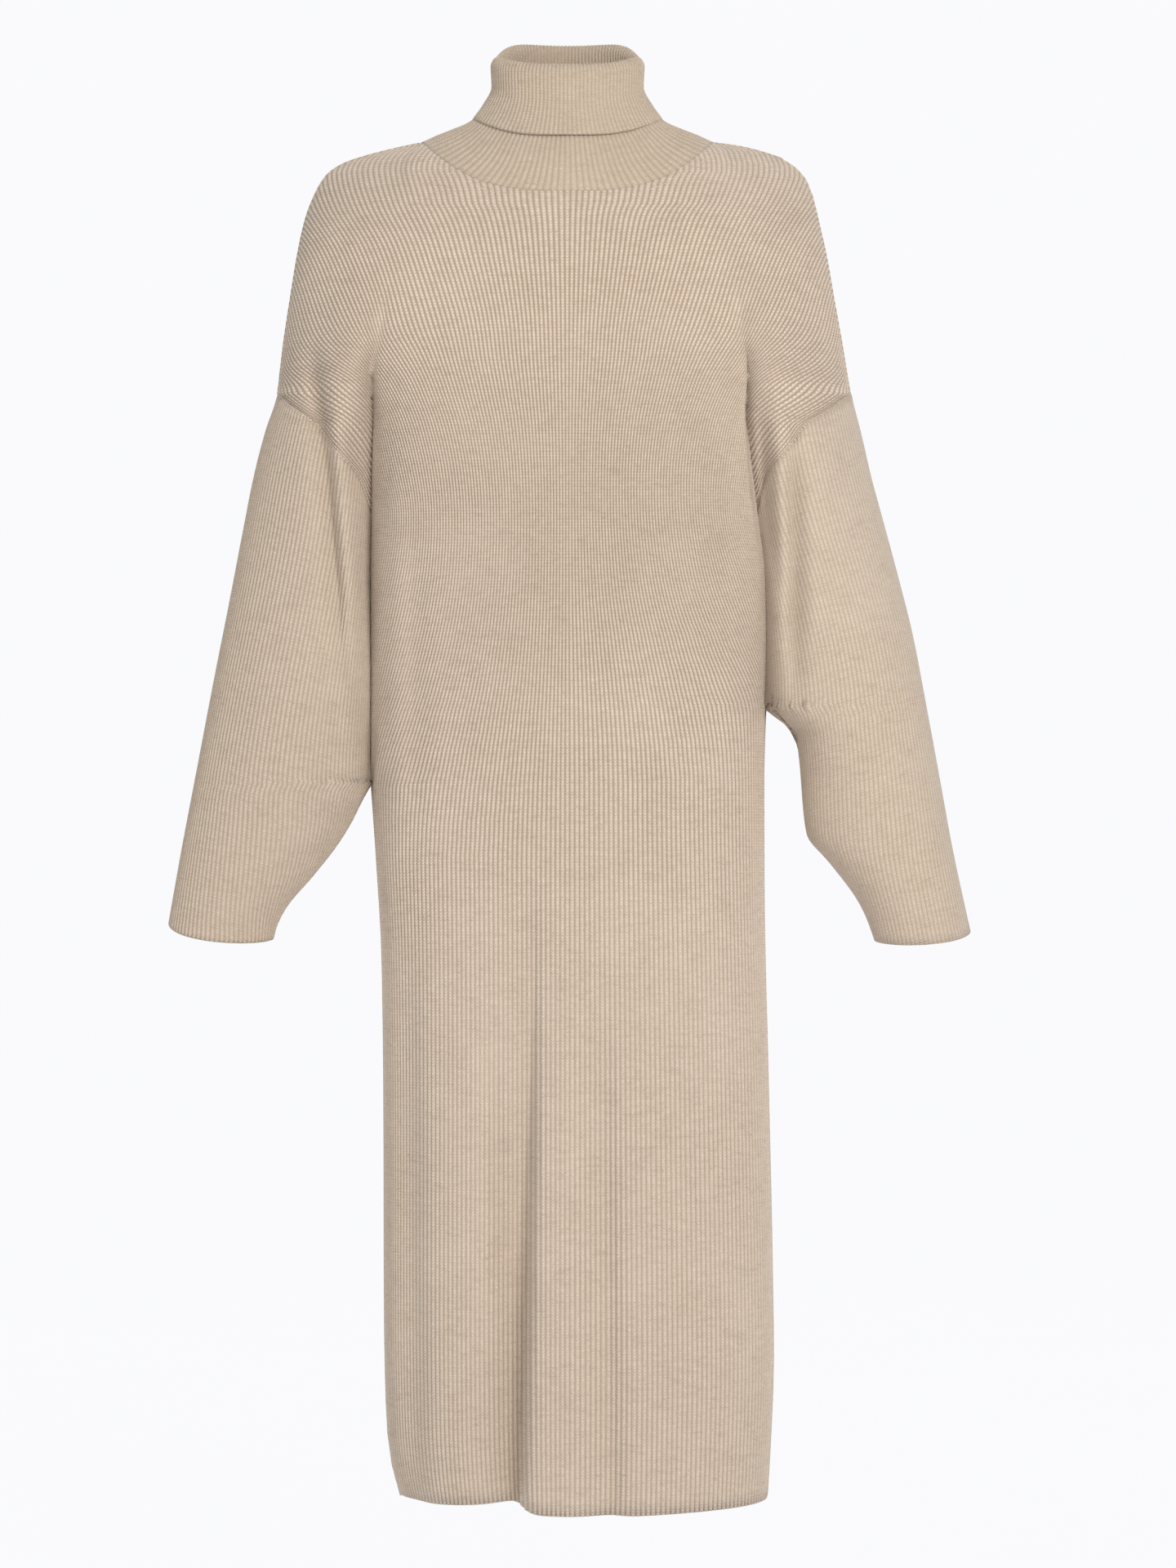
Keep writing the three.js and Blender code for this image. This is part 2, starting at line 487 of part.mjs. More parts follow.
// An open cloth: points of its plain outer face, the triangles between them, how far each point is
// raised as a rib, and which points the coarser inner face keeps
class Cloth {
  constructor() {
    this.points = [];
    this.raised = [];
    this.kept = [];
    this.fixedNormals = new Map();
    this.outer = [];
    this.inner = [];
  }

  add(point, raised, kept) {
    this.points.push(point);
    this.raised.push(raised);
    this.kept.push(kept);
    return this.points.length - 1;
  }

  // Two triangles of a cell whose corners go round it seen from outside
  cell(list, a, b, c, d) {
    for (const [p, q, r] of [[a, b, c], [a, c, d]]) {
      if (p !== q && q !== r && p !== r) list.push([p, q, r]);
    }
  }

  // Cells of a grid of point numbers; flip turns the faces round
  grid(numbers, flip) {
    for (let j = 0; j + 1 < numbers.length; j++) {
      const top = numbers[j];
      const low = numbers[j + 1];
      for (let i = 0; i + 1 < top.length; i++) {
        if (flip) this.cell(this.outer, top[i], top[i + 1], low[i + 1], low[i]);
        else this.cell(this.outer, top[i], low[i], low[i + 1], top[i + 1]);
      }
      this.zip(top, low, flip);
    }
  }

  // Triangles of the inner face between two rows, which may keep different points
  zip(top, low, flip) {
    const held = (row) => row.map((n, i) => i).filter((i) => this.kept[row[i]]);
    const above = held(top);
    const below = held(low);
    let a = 0;
    let b = 0;
    while (a + 1 < above.length || b + 1 < below.length) {
      const onTop = b + 1 >= below.length
        || (a + 1 < above.length && above[a] + above[a + 1] < below[b] + below[b + 1]);
      const face = onTop
        ? [top[above[a]], low[below[b]], top[above[a + 1]]]
        : [top[above[a]], low[below[b]], low[below[b + 1]]];
      if (onTop) a++;
      else b++;
      if (new Set(face).size === 3) this.inner.push(flip ? face.reverse() : face);
    }
  }

  normals() {
    const sums = this.points.map(() => new THREE.Vector3());
    const ab = new THREE.Vector3();
    const ac = new THREE.Vector3();
    for (const [a, b, c] of this.outer) {
      ab.subVectors(this.points[b], this.points[a]);
      ac.subVectors(this.points[c], this.points[a]);
      ab.cross(ac);
      for (const i of [a, b, c]) sums[i].add(ab);
    }
    for (const [i, fix] of this.fixedNormals) fix(sums[i]);
    return sums.map((n) => n.normalize());
  }

  // Closed wall: the raised outer face, the plain inner face and the rims between them
  wall(thickness, innerPlaces = new Map()) {
    const normals = this.normals();
    const places = this.points.map((p, i) => p.clone().addScaledVector(normals[i], this.raised[i]));
    const innerOf = this.points.map((p, i) => {
      if (!this.kept[i]) return -1;
      places.push(innerPlaces.get(i) ?? p.clone().addScaledVector(normals[i], -thickness));
      return places.length - 1;
    });
    const faces = this.outer.map((f) => [...f]);
    for (const [a, b, c] of this.inner) faces.push([innerOf[a], innerOf[c], innerOf[b]]);
    for (const loop of this.rims()) this.closeRim(loop, innerOf, faces, places);
    this.innerPlace = (i) => (innerOf[i] < 0 ? null : places[innerOf[i]]);
    const flat = places.flatMap((p) => [p.x, p.y, p.z]);
    const geometry = new THREE.BufferGeometry();
    geometry.setAttribute('position', new THREE.Float32BufferAttribute(flat, 3));
    geometry.setIndex(faces.flat());
    geometry.computeVertexNormals();
    return geometry;
  }

  // Rings of edges that have a face on one side only
  rims() {
    const next = new Map();
    const seen = new Set(this.outer.flatMap(([a, b, c]) => [`${a} ${b}`, `${b} ${c}`, `${c} ${a}`]));
    for (const [a, b, c] of this.outer) {
      for (const [p, q] of [[a, b], [b, c], [c, a]]) {
        if (!seen.has(`${q} ${p}`)) next.set(p, q);
      }
    }
    const loops = [];
    while (next.size > 0) {
      const loop = [];
      let p = next.keys().next().value;
      while (next.has(p)) {
        loop.push(p);
        const q = next.get(p);
        next.delete(p);
        p = q;
      }
      loops.push(loop);
    }
    return loops;
  }

  // Rim between the outer and inner face; each length is cut along its shorter diagonal
  closeRim(loop, innerOf, faces, places) {
    const first = loop.findIndex((p) => innerOf[p] >= 0);
    const ring = [...loop.slice(first), ...loop.slice(0, first), loop[first]];
    let start = 0;
    for (let end = 1; end < ring.length; end++) {
      if (innerOf[ring[end]] < 0) continue;
      const [near, far] = [innerOf[ring[start]], innerOf[ring[end]]];
      const fromNear = places[near].distanceTo(places[ring[end]]);
      const useNear = fromNear < places[far].distanceTo(places[ring[start]]);
      for (let i = start; i < end; i++) faces.push([ring[i], useNear ? near : far, ring[i + 1]]);
      faces.push(useNear ? [ring[end], near, far] : [ring[start], near, far]);
      start = end;
    }
  }
}

// A normal on the middle plane has no part across it
const flattenY = (n) => {
  n.y = 0;
};

const keepsColumn = (c) => {
  const at = Math.abs(c);
  if (at > COLUMNS_SIDE) return at % 2 === 0;
  return at === COLUMNS_SIDE || at === COLUMNS_NECK || (at > 24 ? at % 4 === 0 : at % 6 === 0);
};

// The inner face keeps the points on both sides of the fold too
const keepsFold = (c, z) => {
  const rib = lookup(SHOULDER[SIDE_NAMES[c < 0 ? -1 : 1]], 'ribSide', 'z', z);
  return z < FOLD_STARTS[0] && Math.abs(Math.abs(c) - rib / RIBS_A_COLUMN) < 2.1;
};

// Front or back panel: the upper part runs from arm to arm and the lower part from side to side
function bodyCloth(face) {
  const cloth = new Cloth();
  const toBack = face === 'back';
  const halfGap = (toBack ? 1 : -1) * (SEAM_GAP / 2);
  const columns = [];
  for (let c = -COLUMNS_PANEL; c <= COLUMNS_PANEL; c++) columns.push(c);
  const rise = (c, edge) => (c % 2 !== 0 && Math.abs(c) < edge ? RIB_HEIGHT : 0);
  const place = (point) => {
    const onMiddle = Math.abs(point.y) < SEAM_GAP;
    if (onMiddle) point.y = halfGap;
    return { point, onMiddle };
  };
  const add = ({ point, onMiddle }, raised, kept) => {
    const number = cloth.add(point, raised, kept);
    if (onMiddle) cloth.fixedNormals.set(number, flattenY);
    return number;
  };
  const upper = [];
  for (let j = 0; j <= ROWS_UPPER; j++) {
    upper.push(
      columns.map((c) => {
        const rib = Math.abs(c) * RIBS_A_COLUMN;
        const spot = place(upperPoint(c < 0 ? -1 : 1, rib, j / ROWS_UPPER, face));
        const seam = j === 0 || (j === ROWS_UPPER && Math.abs(c) >= COLUMNS_SIDE);
        const raised = rise(c, COLUMNS_PANEL - 1) * ribShare(c < 0 ? -1 : 1, face, spot.point);
        return add(spot, seam ? 0 : raised, seam || keepsColumn(c) || keepsFold(c, spot.point.z));
      }),
    );
  }
  const shift = COLUMNS_PANEL - COLUMNS_SIDE;
  const waist = upper[ROWS_UPPER].slice(shift, shift + 2 * COLUMNS_SIDE + 1);
  const lower = [waist];
  for (let j = 1; j <= ROWS_LOWER; j++) {
    lower.push(
      columns.slice(shift, shift + 2 * COLUMNS_SIDE + 1).map((c) => {
        const rib = Math.abs(c) * RIBS_A_COLUMN;
        const spot = place(lowerPoint(c < 0 ? -1 : 1, rib, j / ROWS_LOWER, face));
        const raised = rise(c, COLUMNS_SIDE - 1) * ribShare(c < 0 ? -1 : 1, face, spot.point);
        return add(spot, raised, keepsColumn(c));
      }),
    );
  }
  // In the fold the armhole edge looks out between body and sleeve, and straight down at the underarm
  for (const hand of [-1, 1]) {
    const last = hand < 0 ? upper[ROWS_UPPER] : [...upper[ROWS_UPPER]].reverse();
    for (let i = 0; i <= shift; i++) {
      const below = cloth.points[last[Math.min(shift, i + 1)]];
      const above = cloth.points[last[Math.max(0, i - 1)]];
      const along = i === shift ? new THREE.Vector3(0, toBack ? -1 : 1, 0) : below.clone().sub(above);
      const sign = toBack ? -1 : 1;
      cloth.fixedNormals.set(last[i], (n) => n.set(0, sign * along.z, -sign * along.y));
    }
  }
  cloth.grid(upper, toBack);
  cloth.grid(lower, toBack);
  cloth.upper = upper;
  return cloth;
}

// The armhole edge of a panel, from the overarm down to the underarm, as outer and inner points
function armholeEdge(cloth, hand) {
  const side = (row) => (hand < 0 ? row : [...row].reverse());
  const down = cloth.upper.map((row) => side(row)[0]);
  const last = side(cloth.upper[ROWS_UPPER]);
  const along = last.slice(1, COLUMNS_PANEL - COLUMNS_SIDE + 1);
  return [...down, ...along];
}

// Height at which a sleeve rib starts on the armhole seam
function sleeveStart(name, rib) {
  const ribs = (z) => lookup(SLEEVE[name].rows, 'ribs', 'z', z);
  if (rib <= 0) return ARMHOLE_TOP;
  if (rib <= RIBS_DIVE) {
    const crossing = (z) => (2 - lookup(ARMHOLE, 'turn', 'z', z)) * ribs(z);
    return solveHeight(crossing, rib, ARMHOLE_TOP, ARMHOLE_DIVE);
  }
  return solveHeight(ribs, rib, ARMHOLE_DIVE, SLEEVE[name].underarm);
}

// Height at which it ends, on the cuff or on the underarm seam
function sleeveEnd(name, rib) {
  const sleeve = SLEEVE[name];
  if (rib <= RIBS_CUFF) {
    const share = rib / RIBS_CUFF;
    return mix(sleeve.cuffTop, sleeve.cuffEnd, share) - sleeve.cuffSag * Math.sin(Math.PI * share);
  }
  const ribs = (z) => lookup(sleeve.rows, 'ribs', 'z', z);
  return solveHeight(ribs, rib, sleeve.rows[3].z, sleeve.cuffEnd);
}

function sleevePoint(hand, rib, top, share, face) {
  const name = SIDE_NAMES[hand];
  const z = mix(top, sleeveEnd(name, rib), share);
  const ribs = lookup(SLEEVE[name].rows, 'ribs', 'z', z);
  const [x, y] = surfacePoint(hand, face, Math.max(1, 2 - rib / ribs), z, true);
  return new THREE.Vector3(x, y, z);
}

// Place along a chain of points where it reaches a height on its way down
function chainPlace(chain, z) {
  let i = 0;
  while (i < chain.length - 2 && chain[i + 1].z > z) i++;
  const s = (z - chain[i].z) / (chain[i + 1].z - chain[i].z);
  return { i, s: Math.min(1, Math.max(0, s)) };
}

const chainPoint = (chain, { i, s }) => chain[i].clone().lerp(chain[i + 1], s);

// Sleeve: one tube, its first row along the panels' armhole edges
function sleeveCloth(hand, panels) {
  const name = SIDE_NAMES[hand];
  const cloth = new Cloth();
  const folded = COLUMNS_PANEL - COLUMNS_SIDE;
  const ribs = [];
  for (let i = 0; i <= COLUMNS_ARM; i++) ribs.push((RIBS_DIVE * i) / COLUMNS_ARM);
  for (let i = 1; i <= folded; i++) ribs.push(mix(RIBS_DIVE, RIBS_SLEEVE, i / folded));
  const last = ribs.length - 1;
  const cuffColumn = ribs.findIndex((rib) => rib >= RIBS_CUFF - 0.7);
  ribs[cuffColumn] = RIBS_CUFF;
  const keeps = (i) => {
    if (i === 0 || i === last || i === cuffColumn) return true;
    return i < COLUMNS_ARM - 2 ? i % 4 === 2 : i % 2 === 0;
  };
  const innerPlaces = new Map();
  const grids = {};
  for (const face of ['front', 'back']) {
    const { edge, inside } = panels[face];
    const spots = ribs.map((rib, i) => (i <= COLUMNS_ARM
      ? chainPlace(edge, sleeveStart(name, rib))
      : { i: edge.length - 2 - (last - i), s: 1 }));
    for (let v = 1; v < ROWS_UPPER; v++) {
      const off = spots.map((spot) => Math.abs(chainPoint(edge, spot).z - edge[v].z));
      spots[off.indexOf(Math.min(...off))] = { i: v - 1, s: 1 };
    }
    const grid = [];
    for (let j = 0; j <= ROWS_SLEEVE; j++) {
      grid.push(
        ribs.map((rib, i) => {
          const shared = i === 0 || i === last || (j === ROWS_SLEEVE && i >= cuffColumn);
          if (shared && face === 'back') return grids.front[j][i];
          const start = chainPoint(edge, spots[i]);
          const point = j === 0 ? start : sleevePoint(hand, rib, start.z, j / ROWS_SLEEVE, face);
          if (shared) point.y = 0;
          const plain = j === 0 || i % 2 === 0 || i >= last - 1 || shared;
          const raised = plain ? 0 : RIB_HEIGHT * ribShare(hand, face, point);
          return cloth.add(point, raised, j === 0 ? i === 0 || spots[i].s === 1 : keeps(i));
        }),
      );
    }
    // Both edges of its rim run level with the panel's rim, a seam's space off it
    const at = spots.map((spot) => chainPoint(edge, spot));
    const inner = spots.map((spot) => chainPoint(inside, spot));
    const turned = face === 'front' ? hand : -hand;
    at.forEach((p, i) => {
      const along = at[Math.min(last, i + 1)].clone().sub(at[Math.max(0, i - 1)]);
      const push = p.clone().sub(inner[i]).cross(along).multiplyScalar(turned).normalize();
      if (i === 0) push.set(hand * 0.25, 0, -1).normalize();
      if (i === last) push.set(hand, 0, 0);
      const place = inner[i].clone().addScaledVector(push, ARMHOLE_GAP);
      if (i === 0 || i === last) place.y = 0;
      innerPlaces.set(grid[0][i], place);
      if (face === 'front' || (i > 0 && i < last)) cloth.points[grid[0][i]].addScaledVector(push, ARMHOLE_GAP);
    });
    grids[face] = grid;
    const outward = (face === 'front') === (hand < 0);
    cloth.grid(grid, !outward);
  }
  return { cloth, innerPlaces };
}

// The neck edge of a panel: its outer and inner place at a distance across
function neckEdge(cloth) {
  const row = cloth.upper[0];
  const corner = COLUMNS_PANEL - COLUMNS_NECK;
  const numbers = row.slice(corner, row.length - corner);
  const held = numbers.map((n, i) => i).filter((i) => cloth.innerPlace(numbers[i]));
  const outer = numbers.map((n) => cloth.points[n]);
  return (x) => {
    let i = 0;
    while (i < outer.length - 2 && outer[i + 1].x < x) i++;
    const s = Math.min(1, Math.max(0, (x - outer[i].x) / (outer[i + 1].x - outer[i].x)));
    const place = outer[i].clone().lerp(outer[i + 1], s);
    const along = outer[i + 1].clone().sub(outer[i]);
    let h = 0;
    while (h < held.length - 2 && held[h + 1] < i + s) h++;
    const part = (i + s - held[h]) / (held[h + 1] - held[h]);
    const inner = cloth.innerPlace(numbers[held[h]]).clone();
    inner.lerp(cloth.innerPlace(numbers[held[h + 1]]), Math.min(1, Math.max(0, part)));
    const push = along.cross(inner.clone().sub(place)).normalize();
    if (push.z < 0) push.negate();
    return { outer: place.addScaledVector(push, SEAM_GAP), inner: inner.addScaledVector(push, SEAM_GAP) };
  };
}

// Roll collar: a closed section of the knit carried round the neck
function collarGeometry(edges) {
  const count = COLLAR.length;
  const ring = (station, angle, push) => {
    const across = Math.sin(angle);
    const ahead = Math.cos(angle);
    const deep = ahead > 0 ? station.front : station.back;
    const power = 3;
    const level = ahead > 0 ? station.zFront : station.zBack;
    const x = station.side * across;
    const y = -deep * ahead;
    const z = mix(station.zSide, level, 1 - Math.abs(across) ** power);
    const normal = new THREE.Vector3(across / station.side, -ahead / deep, 0).normalize();
    return new THREE.Vector3(x, y, z).addScaledVector(normal, push);
  };
  const middle = (k, angle) => ring(COLLAR[k], angle, 0);
  const section = (angle, raised) => {
    const outward = new THREE.Vector3(Math.sin(angle) / 1.25, -Math.cos(angle), 0).normalize();
    const sides = [[], []];
    const edge = Math.cos(angle) > 0 ? edges.front : edges.back;
    const foot = edge(NECK_HALF_WIDTH * Math.sin(angle));
    if (Math.abs(Math.cos(angle)) < 1e-6) {
      foot.outer.y = 0;
      foot.inner.y = 0;
      foot.outer.z += SEAM_GAP;
      foot.inner.z += SEAM_GAP;
    }
    sides[0].push(foot.outer);
    sides[1].push(foot.inner);
    for (let k = 1; k < count; k++) {
      const along = middle(Math.min(count - 1, k + 1), angle).sub(middle(Math.max(0, k - 1), angle));
      const flatAlong = along.dot(outward);
      const across = outward.clone().multiplyScalar(along.z);
      across.z -= flatAlong;
      across.normalize();
      const funnel = k > 0 && k < 4 ? raised : 0;
      const roll = k > COLLAR_TOP ? raised : 0;
      sides[0].push(middle(k, angle).addScaledVector(across, COLLAR_WALL / 2 + funnel));
      sides[1].push(middle(k, angle).addScaledVector(across, -COLLAR_WALL / 2 - roll));
    }
    return [...sides[0], ...sides[1].reverse()];
  };
  const points = [];
  for (let i = 0; i < COLUMNS_COLLAR; i++) {
    points.push(...section((i / COLUMNS_COLLAR) * Math.PI * 2, i % 2 === 1 ? RIB_HEIGHT * 0.8 : 0));
  }
  const around = 2 * count;
  const faces = [];
  for (let i = 0; i < COLUMNS_COLLAR; i++) {
    const a = i * around;
    const b = ((i + 1) % COLUMNS_COLLAR) * around;
    for (let k = 0; k < around; k++) {
      const n = (k + 1) % around;
      faces.push(a + k, b + k, b + n, a + k, b + n, a + n);
    }
  }
  const geometry = new THREE.BufferGeometry();
  const places = points.flatMap((p) => [p.x, p.y, p.z]);
  geometry.setAttribute('position', new THREE.Float32BufferAttribute(places, 3));
  geometry.setIndex(faces);
  geometry.computeVertexNormals();
  return geometry;
}

// Oatmeal knit, a shade apart from piece to piece so that the seams read
const knit = (name, color) => {
  const material = new THREE.MeshStandardMaterial({ color, roughness: 0.95, metalness: 0 });
  material.name = name;
  return material;
};

const garment = new THREE.Group();
garment.name = 'sweater_dress';

function addPiece(name, geometry, color) {
  const mesh = new THREE.Mesh(geometry, knit(name, color));
  mesh.name = name;
  garment.add(mesh);
}

const front = bodyCloth('front');
const back = bodyCloth('back');
addPiece('front_panel', front.wall(WALL), 0xcbbaa2);
addPiece('back_panel', back.wall(WALL), 0xc6b59d);

for (const hand of [-1, 1]) {
  const panels = {};
  for (const [face, cloth] of [['front', front], ['back', back]]) {
    const numbers = armholeEdge(cloth, hand);
    const edge = numbers.map((n) => cloth.points[n]);
    const inside = numbers.map((n) => cloth.innerPlace(n));
    panels[face] = { edge, inside };
  }
  const { cloth, innerPlaces } = sleeveCloth(hand, panels);
  addPiece(`sleeve_${SIDE_NAMES[hand]}`, cloth.wall(WALL, innerPlaces), 0xc9b8a0);
}

const neck = { front: neckEdge(front), back: neckEdge(back) };
addPiece('roll_collar', collarGeometry(neck), 0xc8b69d);

export default garment;
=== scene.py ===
"""Long rib-knit sweater dress with dropped shoulders, wide sleeves and a roll collar.

Every visible piece is a closed thin wall worked out with numpy from the same sizes as the solids,
with each rib raised in its outer face, and dressed in one heathered yarn.
Sizes are in millimetres up to the last step, which turns them into metres.
"""

from __future__ import annotations

import logging
import math
from collections.abc import Callable, Sequence
from dataclasses import dataclass, field
from enum import Enum

import bpy
import numpy as np
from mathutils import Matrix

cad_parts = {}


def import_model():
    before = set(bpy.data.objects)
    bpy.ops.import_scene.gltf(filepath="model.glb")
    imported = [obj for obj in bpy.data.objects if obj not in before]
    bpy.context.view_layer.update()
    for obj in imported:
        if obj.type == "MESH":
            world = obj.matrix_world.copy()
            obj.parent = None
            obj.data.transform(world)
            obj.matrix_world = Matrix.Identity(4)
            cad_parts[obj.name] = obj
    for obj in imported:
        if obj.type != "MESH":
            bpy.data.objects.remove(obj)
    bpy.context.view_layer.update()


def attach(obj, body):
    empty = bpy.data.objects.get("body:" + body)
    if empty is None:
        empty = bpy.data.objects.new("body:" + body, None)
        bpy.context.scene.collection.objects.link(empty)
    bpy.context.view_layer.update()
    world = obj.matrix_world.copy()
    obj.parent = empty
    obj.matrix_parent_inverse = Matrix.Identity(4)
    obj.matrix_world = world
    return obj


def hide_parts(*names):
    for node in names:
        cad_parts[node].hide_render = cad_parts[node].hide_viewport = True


Array = np.ndarray

LOG = logging.getLogger("sweater_dress")
MM = 0.001
TINY = 1e-9
UV_UNIT = 1 / 512  # a rib or a course on the UV map
RIB_ORIGIN = 100  # keeps the UV map's ribs positive
HEM_REACH = -1150  # folds that end lower run out at the hem


class Face(Enum):
    """The two body panels, and the two halves of everything that goes round."""

    FRONT = "front"
    BACK = "back"

    @property
    def sign(self) -> float:
        """Side of the middle plane: the front is towards -Y."""
        return -1.0 if self is Face.FRONT else 1.0


class Side(Enum):
    """The wearer's sides: the right one lies at negative X."""

    RIGHT = -1
    LEFT = 1

    @property
    def label(self) -> str:
        """Name used in the pieces."""
        return self.name.lower()


def smooth(a: float, b: float, t: Array) -> Array:
    """Rise from 0 at a to 1 at b with level ends."""
    s = np.clip((np.asarray(t, float) - a) / (b - a), 0.0, 1.0)
    return s * s * (3.0 - 2.0 * s)


def mix(a: Array, b: Array, t: Array) -> Array:
    """Straight blend from a to b."""
    return a + (b - a) * t


def window(edges: Sequence[float], t: Array) -> Array:
    """Rise from 0 to 1 between the first two edges and fall to 0 between the last two."""
    return smooth(edges[0], edges[1], t) * (1.0 - smooth(edges[2], edges[3], t))


def round_off(s: Array) -> Array:
    """Quarter circle from 0 to 1."""
    return np.sqrt(np.maximum(0.0, 1.0 - (1.0 - np.clip(s, 0.0, 1.0)) ** 2))


def so_far(steps: Array, axis: int = 0) -> Array:
    """Running sums of steps along an axis, from 0 on."""
    return np.concatenate([np.zeros_like(np.take(steps, [0], axis)), np.cumsum(steps, axis)], axis)


def unit(vectors: Array) -> Array:
    """Vectors of length 1 in the same directions."""
    return vectors / np.maximum(TINY, np.linalg.norm(vectors, axis=-1, keepdims=True))


def points_at(line: Array, along: Array, at: Array) -> Array:
    """Points of a line read at places along it, where its own points have rising places."""
    return np.stack([np.interp(at, along, line[:, i]) for i in range(3)], -1)


def put(name: str, data: bpy.types.ID) -> bpy.types.Object:
    """Put a mesh, light or camera into the scene as an object.

    Args:
        name: the object's name.
        data: its mesh, light or camera.

    Returns:
        The object.
    """
    item = bpy.data.objects.new(name, data)
    bpy.context.scene.collection.objects.link(item)
    return item


class Table:
    """Named columns of sizes, one row for each key, read smoothly between rows.

    Each column is a cubic through its rows whose slope at a row is the harmonic mean of the slopes
    on both sides, or level where they differ in sign, so that it never overshoots.
    """

    def __init__(self, columns: str, rows: Sequence[Sequence[float]]) -> None:
        """Keep the rows in rising order of their first column.

        Args:
            columns: the columns' names, with the key first.
            rows: the sizes.
        """
        self.names = columns.split()
        values = np.array(rows, float)
        self.values = values[np.argsort(values[:, 0])]

    def read(self, column: str, at: Array) -> Array:
        """Read a column.

        Args:
            column: its name.
            at: keys.

        Returns:
            The column's value for each key.
        """
        x = self.values[:, 0]
        y = self.values[:, self.names.index(column)]
        slope = np.diff(y) / np.diff(x)
        left, right = slope[:-1], slope[1:]
        same = left * right > 0
        inner = np.where(same, 2 * left * right / np.where(same, left + right, 1.0), 0.0)
        tangent = np.concatenate([slope[:1], inner, slope[-1:]])
        at = np.clip(np.asarray(at, float), x[0], x[-1])
        i = np.clip(np.searchsorted(x, at, side="right") - 1, 0, len(x) - 2)
        h = x[i + 1] - x[i]
        s = (at - x[i]) / h
        s2, s3 = s * s, s * s * s
        return (
            (2 * s3 - 3 * s2 + 1) * y[i]
            + (s3 - 2 * s2 + s) * h * tangent[i]
            + (3 * s2 - 2 * s3) * y[i + 1]
            + (s3 - s2) * h * tangent[i + 1]
        )


@dataclass(frozen=True)
class Fold:
    """A soft trough along a line of places on the front or back view, or a crest if it is negative.

    It eases in over a first share of its length and, unless it reaches the hem, out again.
    """

    name: str
    x: tuple[float, ...]
    z: tuple[float, ...]
    depth: float
    right: float
    left: float
    ease: float = 0.35
    let_out: float = 0.6

    def draw_in(self, x: Array, z: Array) -> Array:
        """Depth of the trough at places on the view, a bell across its line.

        Args:
            x: places across.
            z: heights.

        Returns:
            How far the cloth is drawn in there.
        """
        line = np.interp(-z, -np.array(self.z), self.x)
        off = x - line
        width = np.where(off < 0, self.right, self.left)
        top, end = self.z[0], self.z[-1]
        share = (top - z) / (top - end)
        fade = smooth(0.0, self.ease, share)
        if end > HEM_REACH:
            fade = fade * (1.0 - smooth(self.let_out, 1.0, share))
        inside = (z <= top) & (z >= end)
        return np.where(inside, self.depth * fade * np.exp(-((off / width) ** 2)), 0.0)


FRONT_FOLDS = (
    Fold("skirt roll", (-27, -31, -36, -42), (-560, -860, -1000, -1165), 34, 24, 6, 0.85),
    Fold("skirt roll crest", (-8, -12, -18), (-600, -880, -1165), -7, 13, 28, 0.9),
    Fold("short skirt trough", (-64, -58, -53), (-690, -850, -1040), 11, 11, 9, 0.55),
    Fold("middle trough", (27, 31, 36), (-640, -900, -1165), 12, 20, 12, 0.6),
    Fold("side trough", (-134, -132, -128), (-560, -860, -1165), 12, 16, 12, 0.6),
    Fold("body trough", (-124, -127, -128), (-270, -400, -640), 7, 11, 12),
    Fold("right flank", (-168, -166, -166, -165), (-165, -300, -420, -660), 22, 13, 22, 0.25),
    Fold("left flank", (158, 164, 167, 167), (-180, -310, -420, -620), 15, 20, 13, 0.25),
    Fold("right arm", (-216, -202, -194, -189), (-160, -268, -380, -490), 17, 12, 6, 0.2),
    Fold("right armpit", (-184, -174, -171), (-225, -330, -460), 12, 9, 8, 0.2),
    Fold("right elbow", (-190, -178, -170), (-440, -495, -560), 8, 9, 8),
    Fold("left arm", (188, 190, 192, 194), (-205, -291, -372, -505), 15, 7, 10),
    Fold("left armpit", (163, 172, 184), (-214, -325, -410), 10, 7, 8),
)
BACK_FOLDS = (
    Fold("back skirt roll", (40, 44, 48), (-640, -880, -1165), 12, 9, 20),
    Fold("back soft trough", (-52, -56, -60), (-700, -900, -1165), 7, 18, 16),
    Fold("back side trough", (128, 130, 131), (-620, -900, -1165), 5, 12, 12),
    Fold("right arm back", (-212, -205, -197), (-205, -300, -440), 8, 9, 8),
    Fold("left arm back", (192, 196, 200), (-215, -320, -480), 8, 8, 9),
)


@dataclass(frozen=True)
class SleeveCut:
    """Sizes of one sleeve: its underarm point, its cuff, and its inner edge by height."""

    underarm: float
    cuff_top: float
    cuff_end: float
    cuff_sag: float
    rows: Table


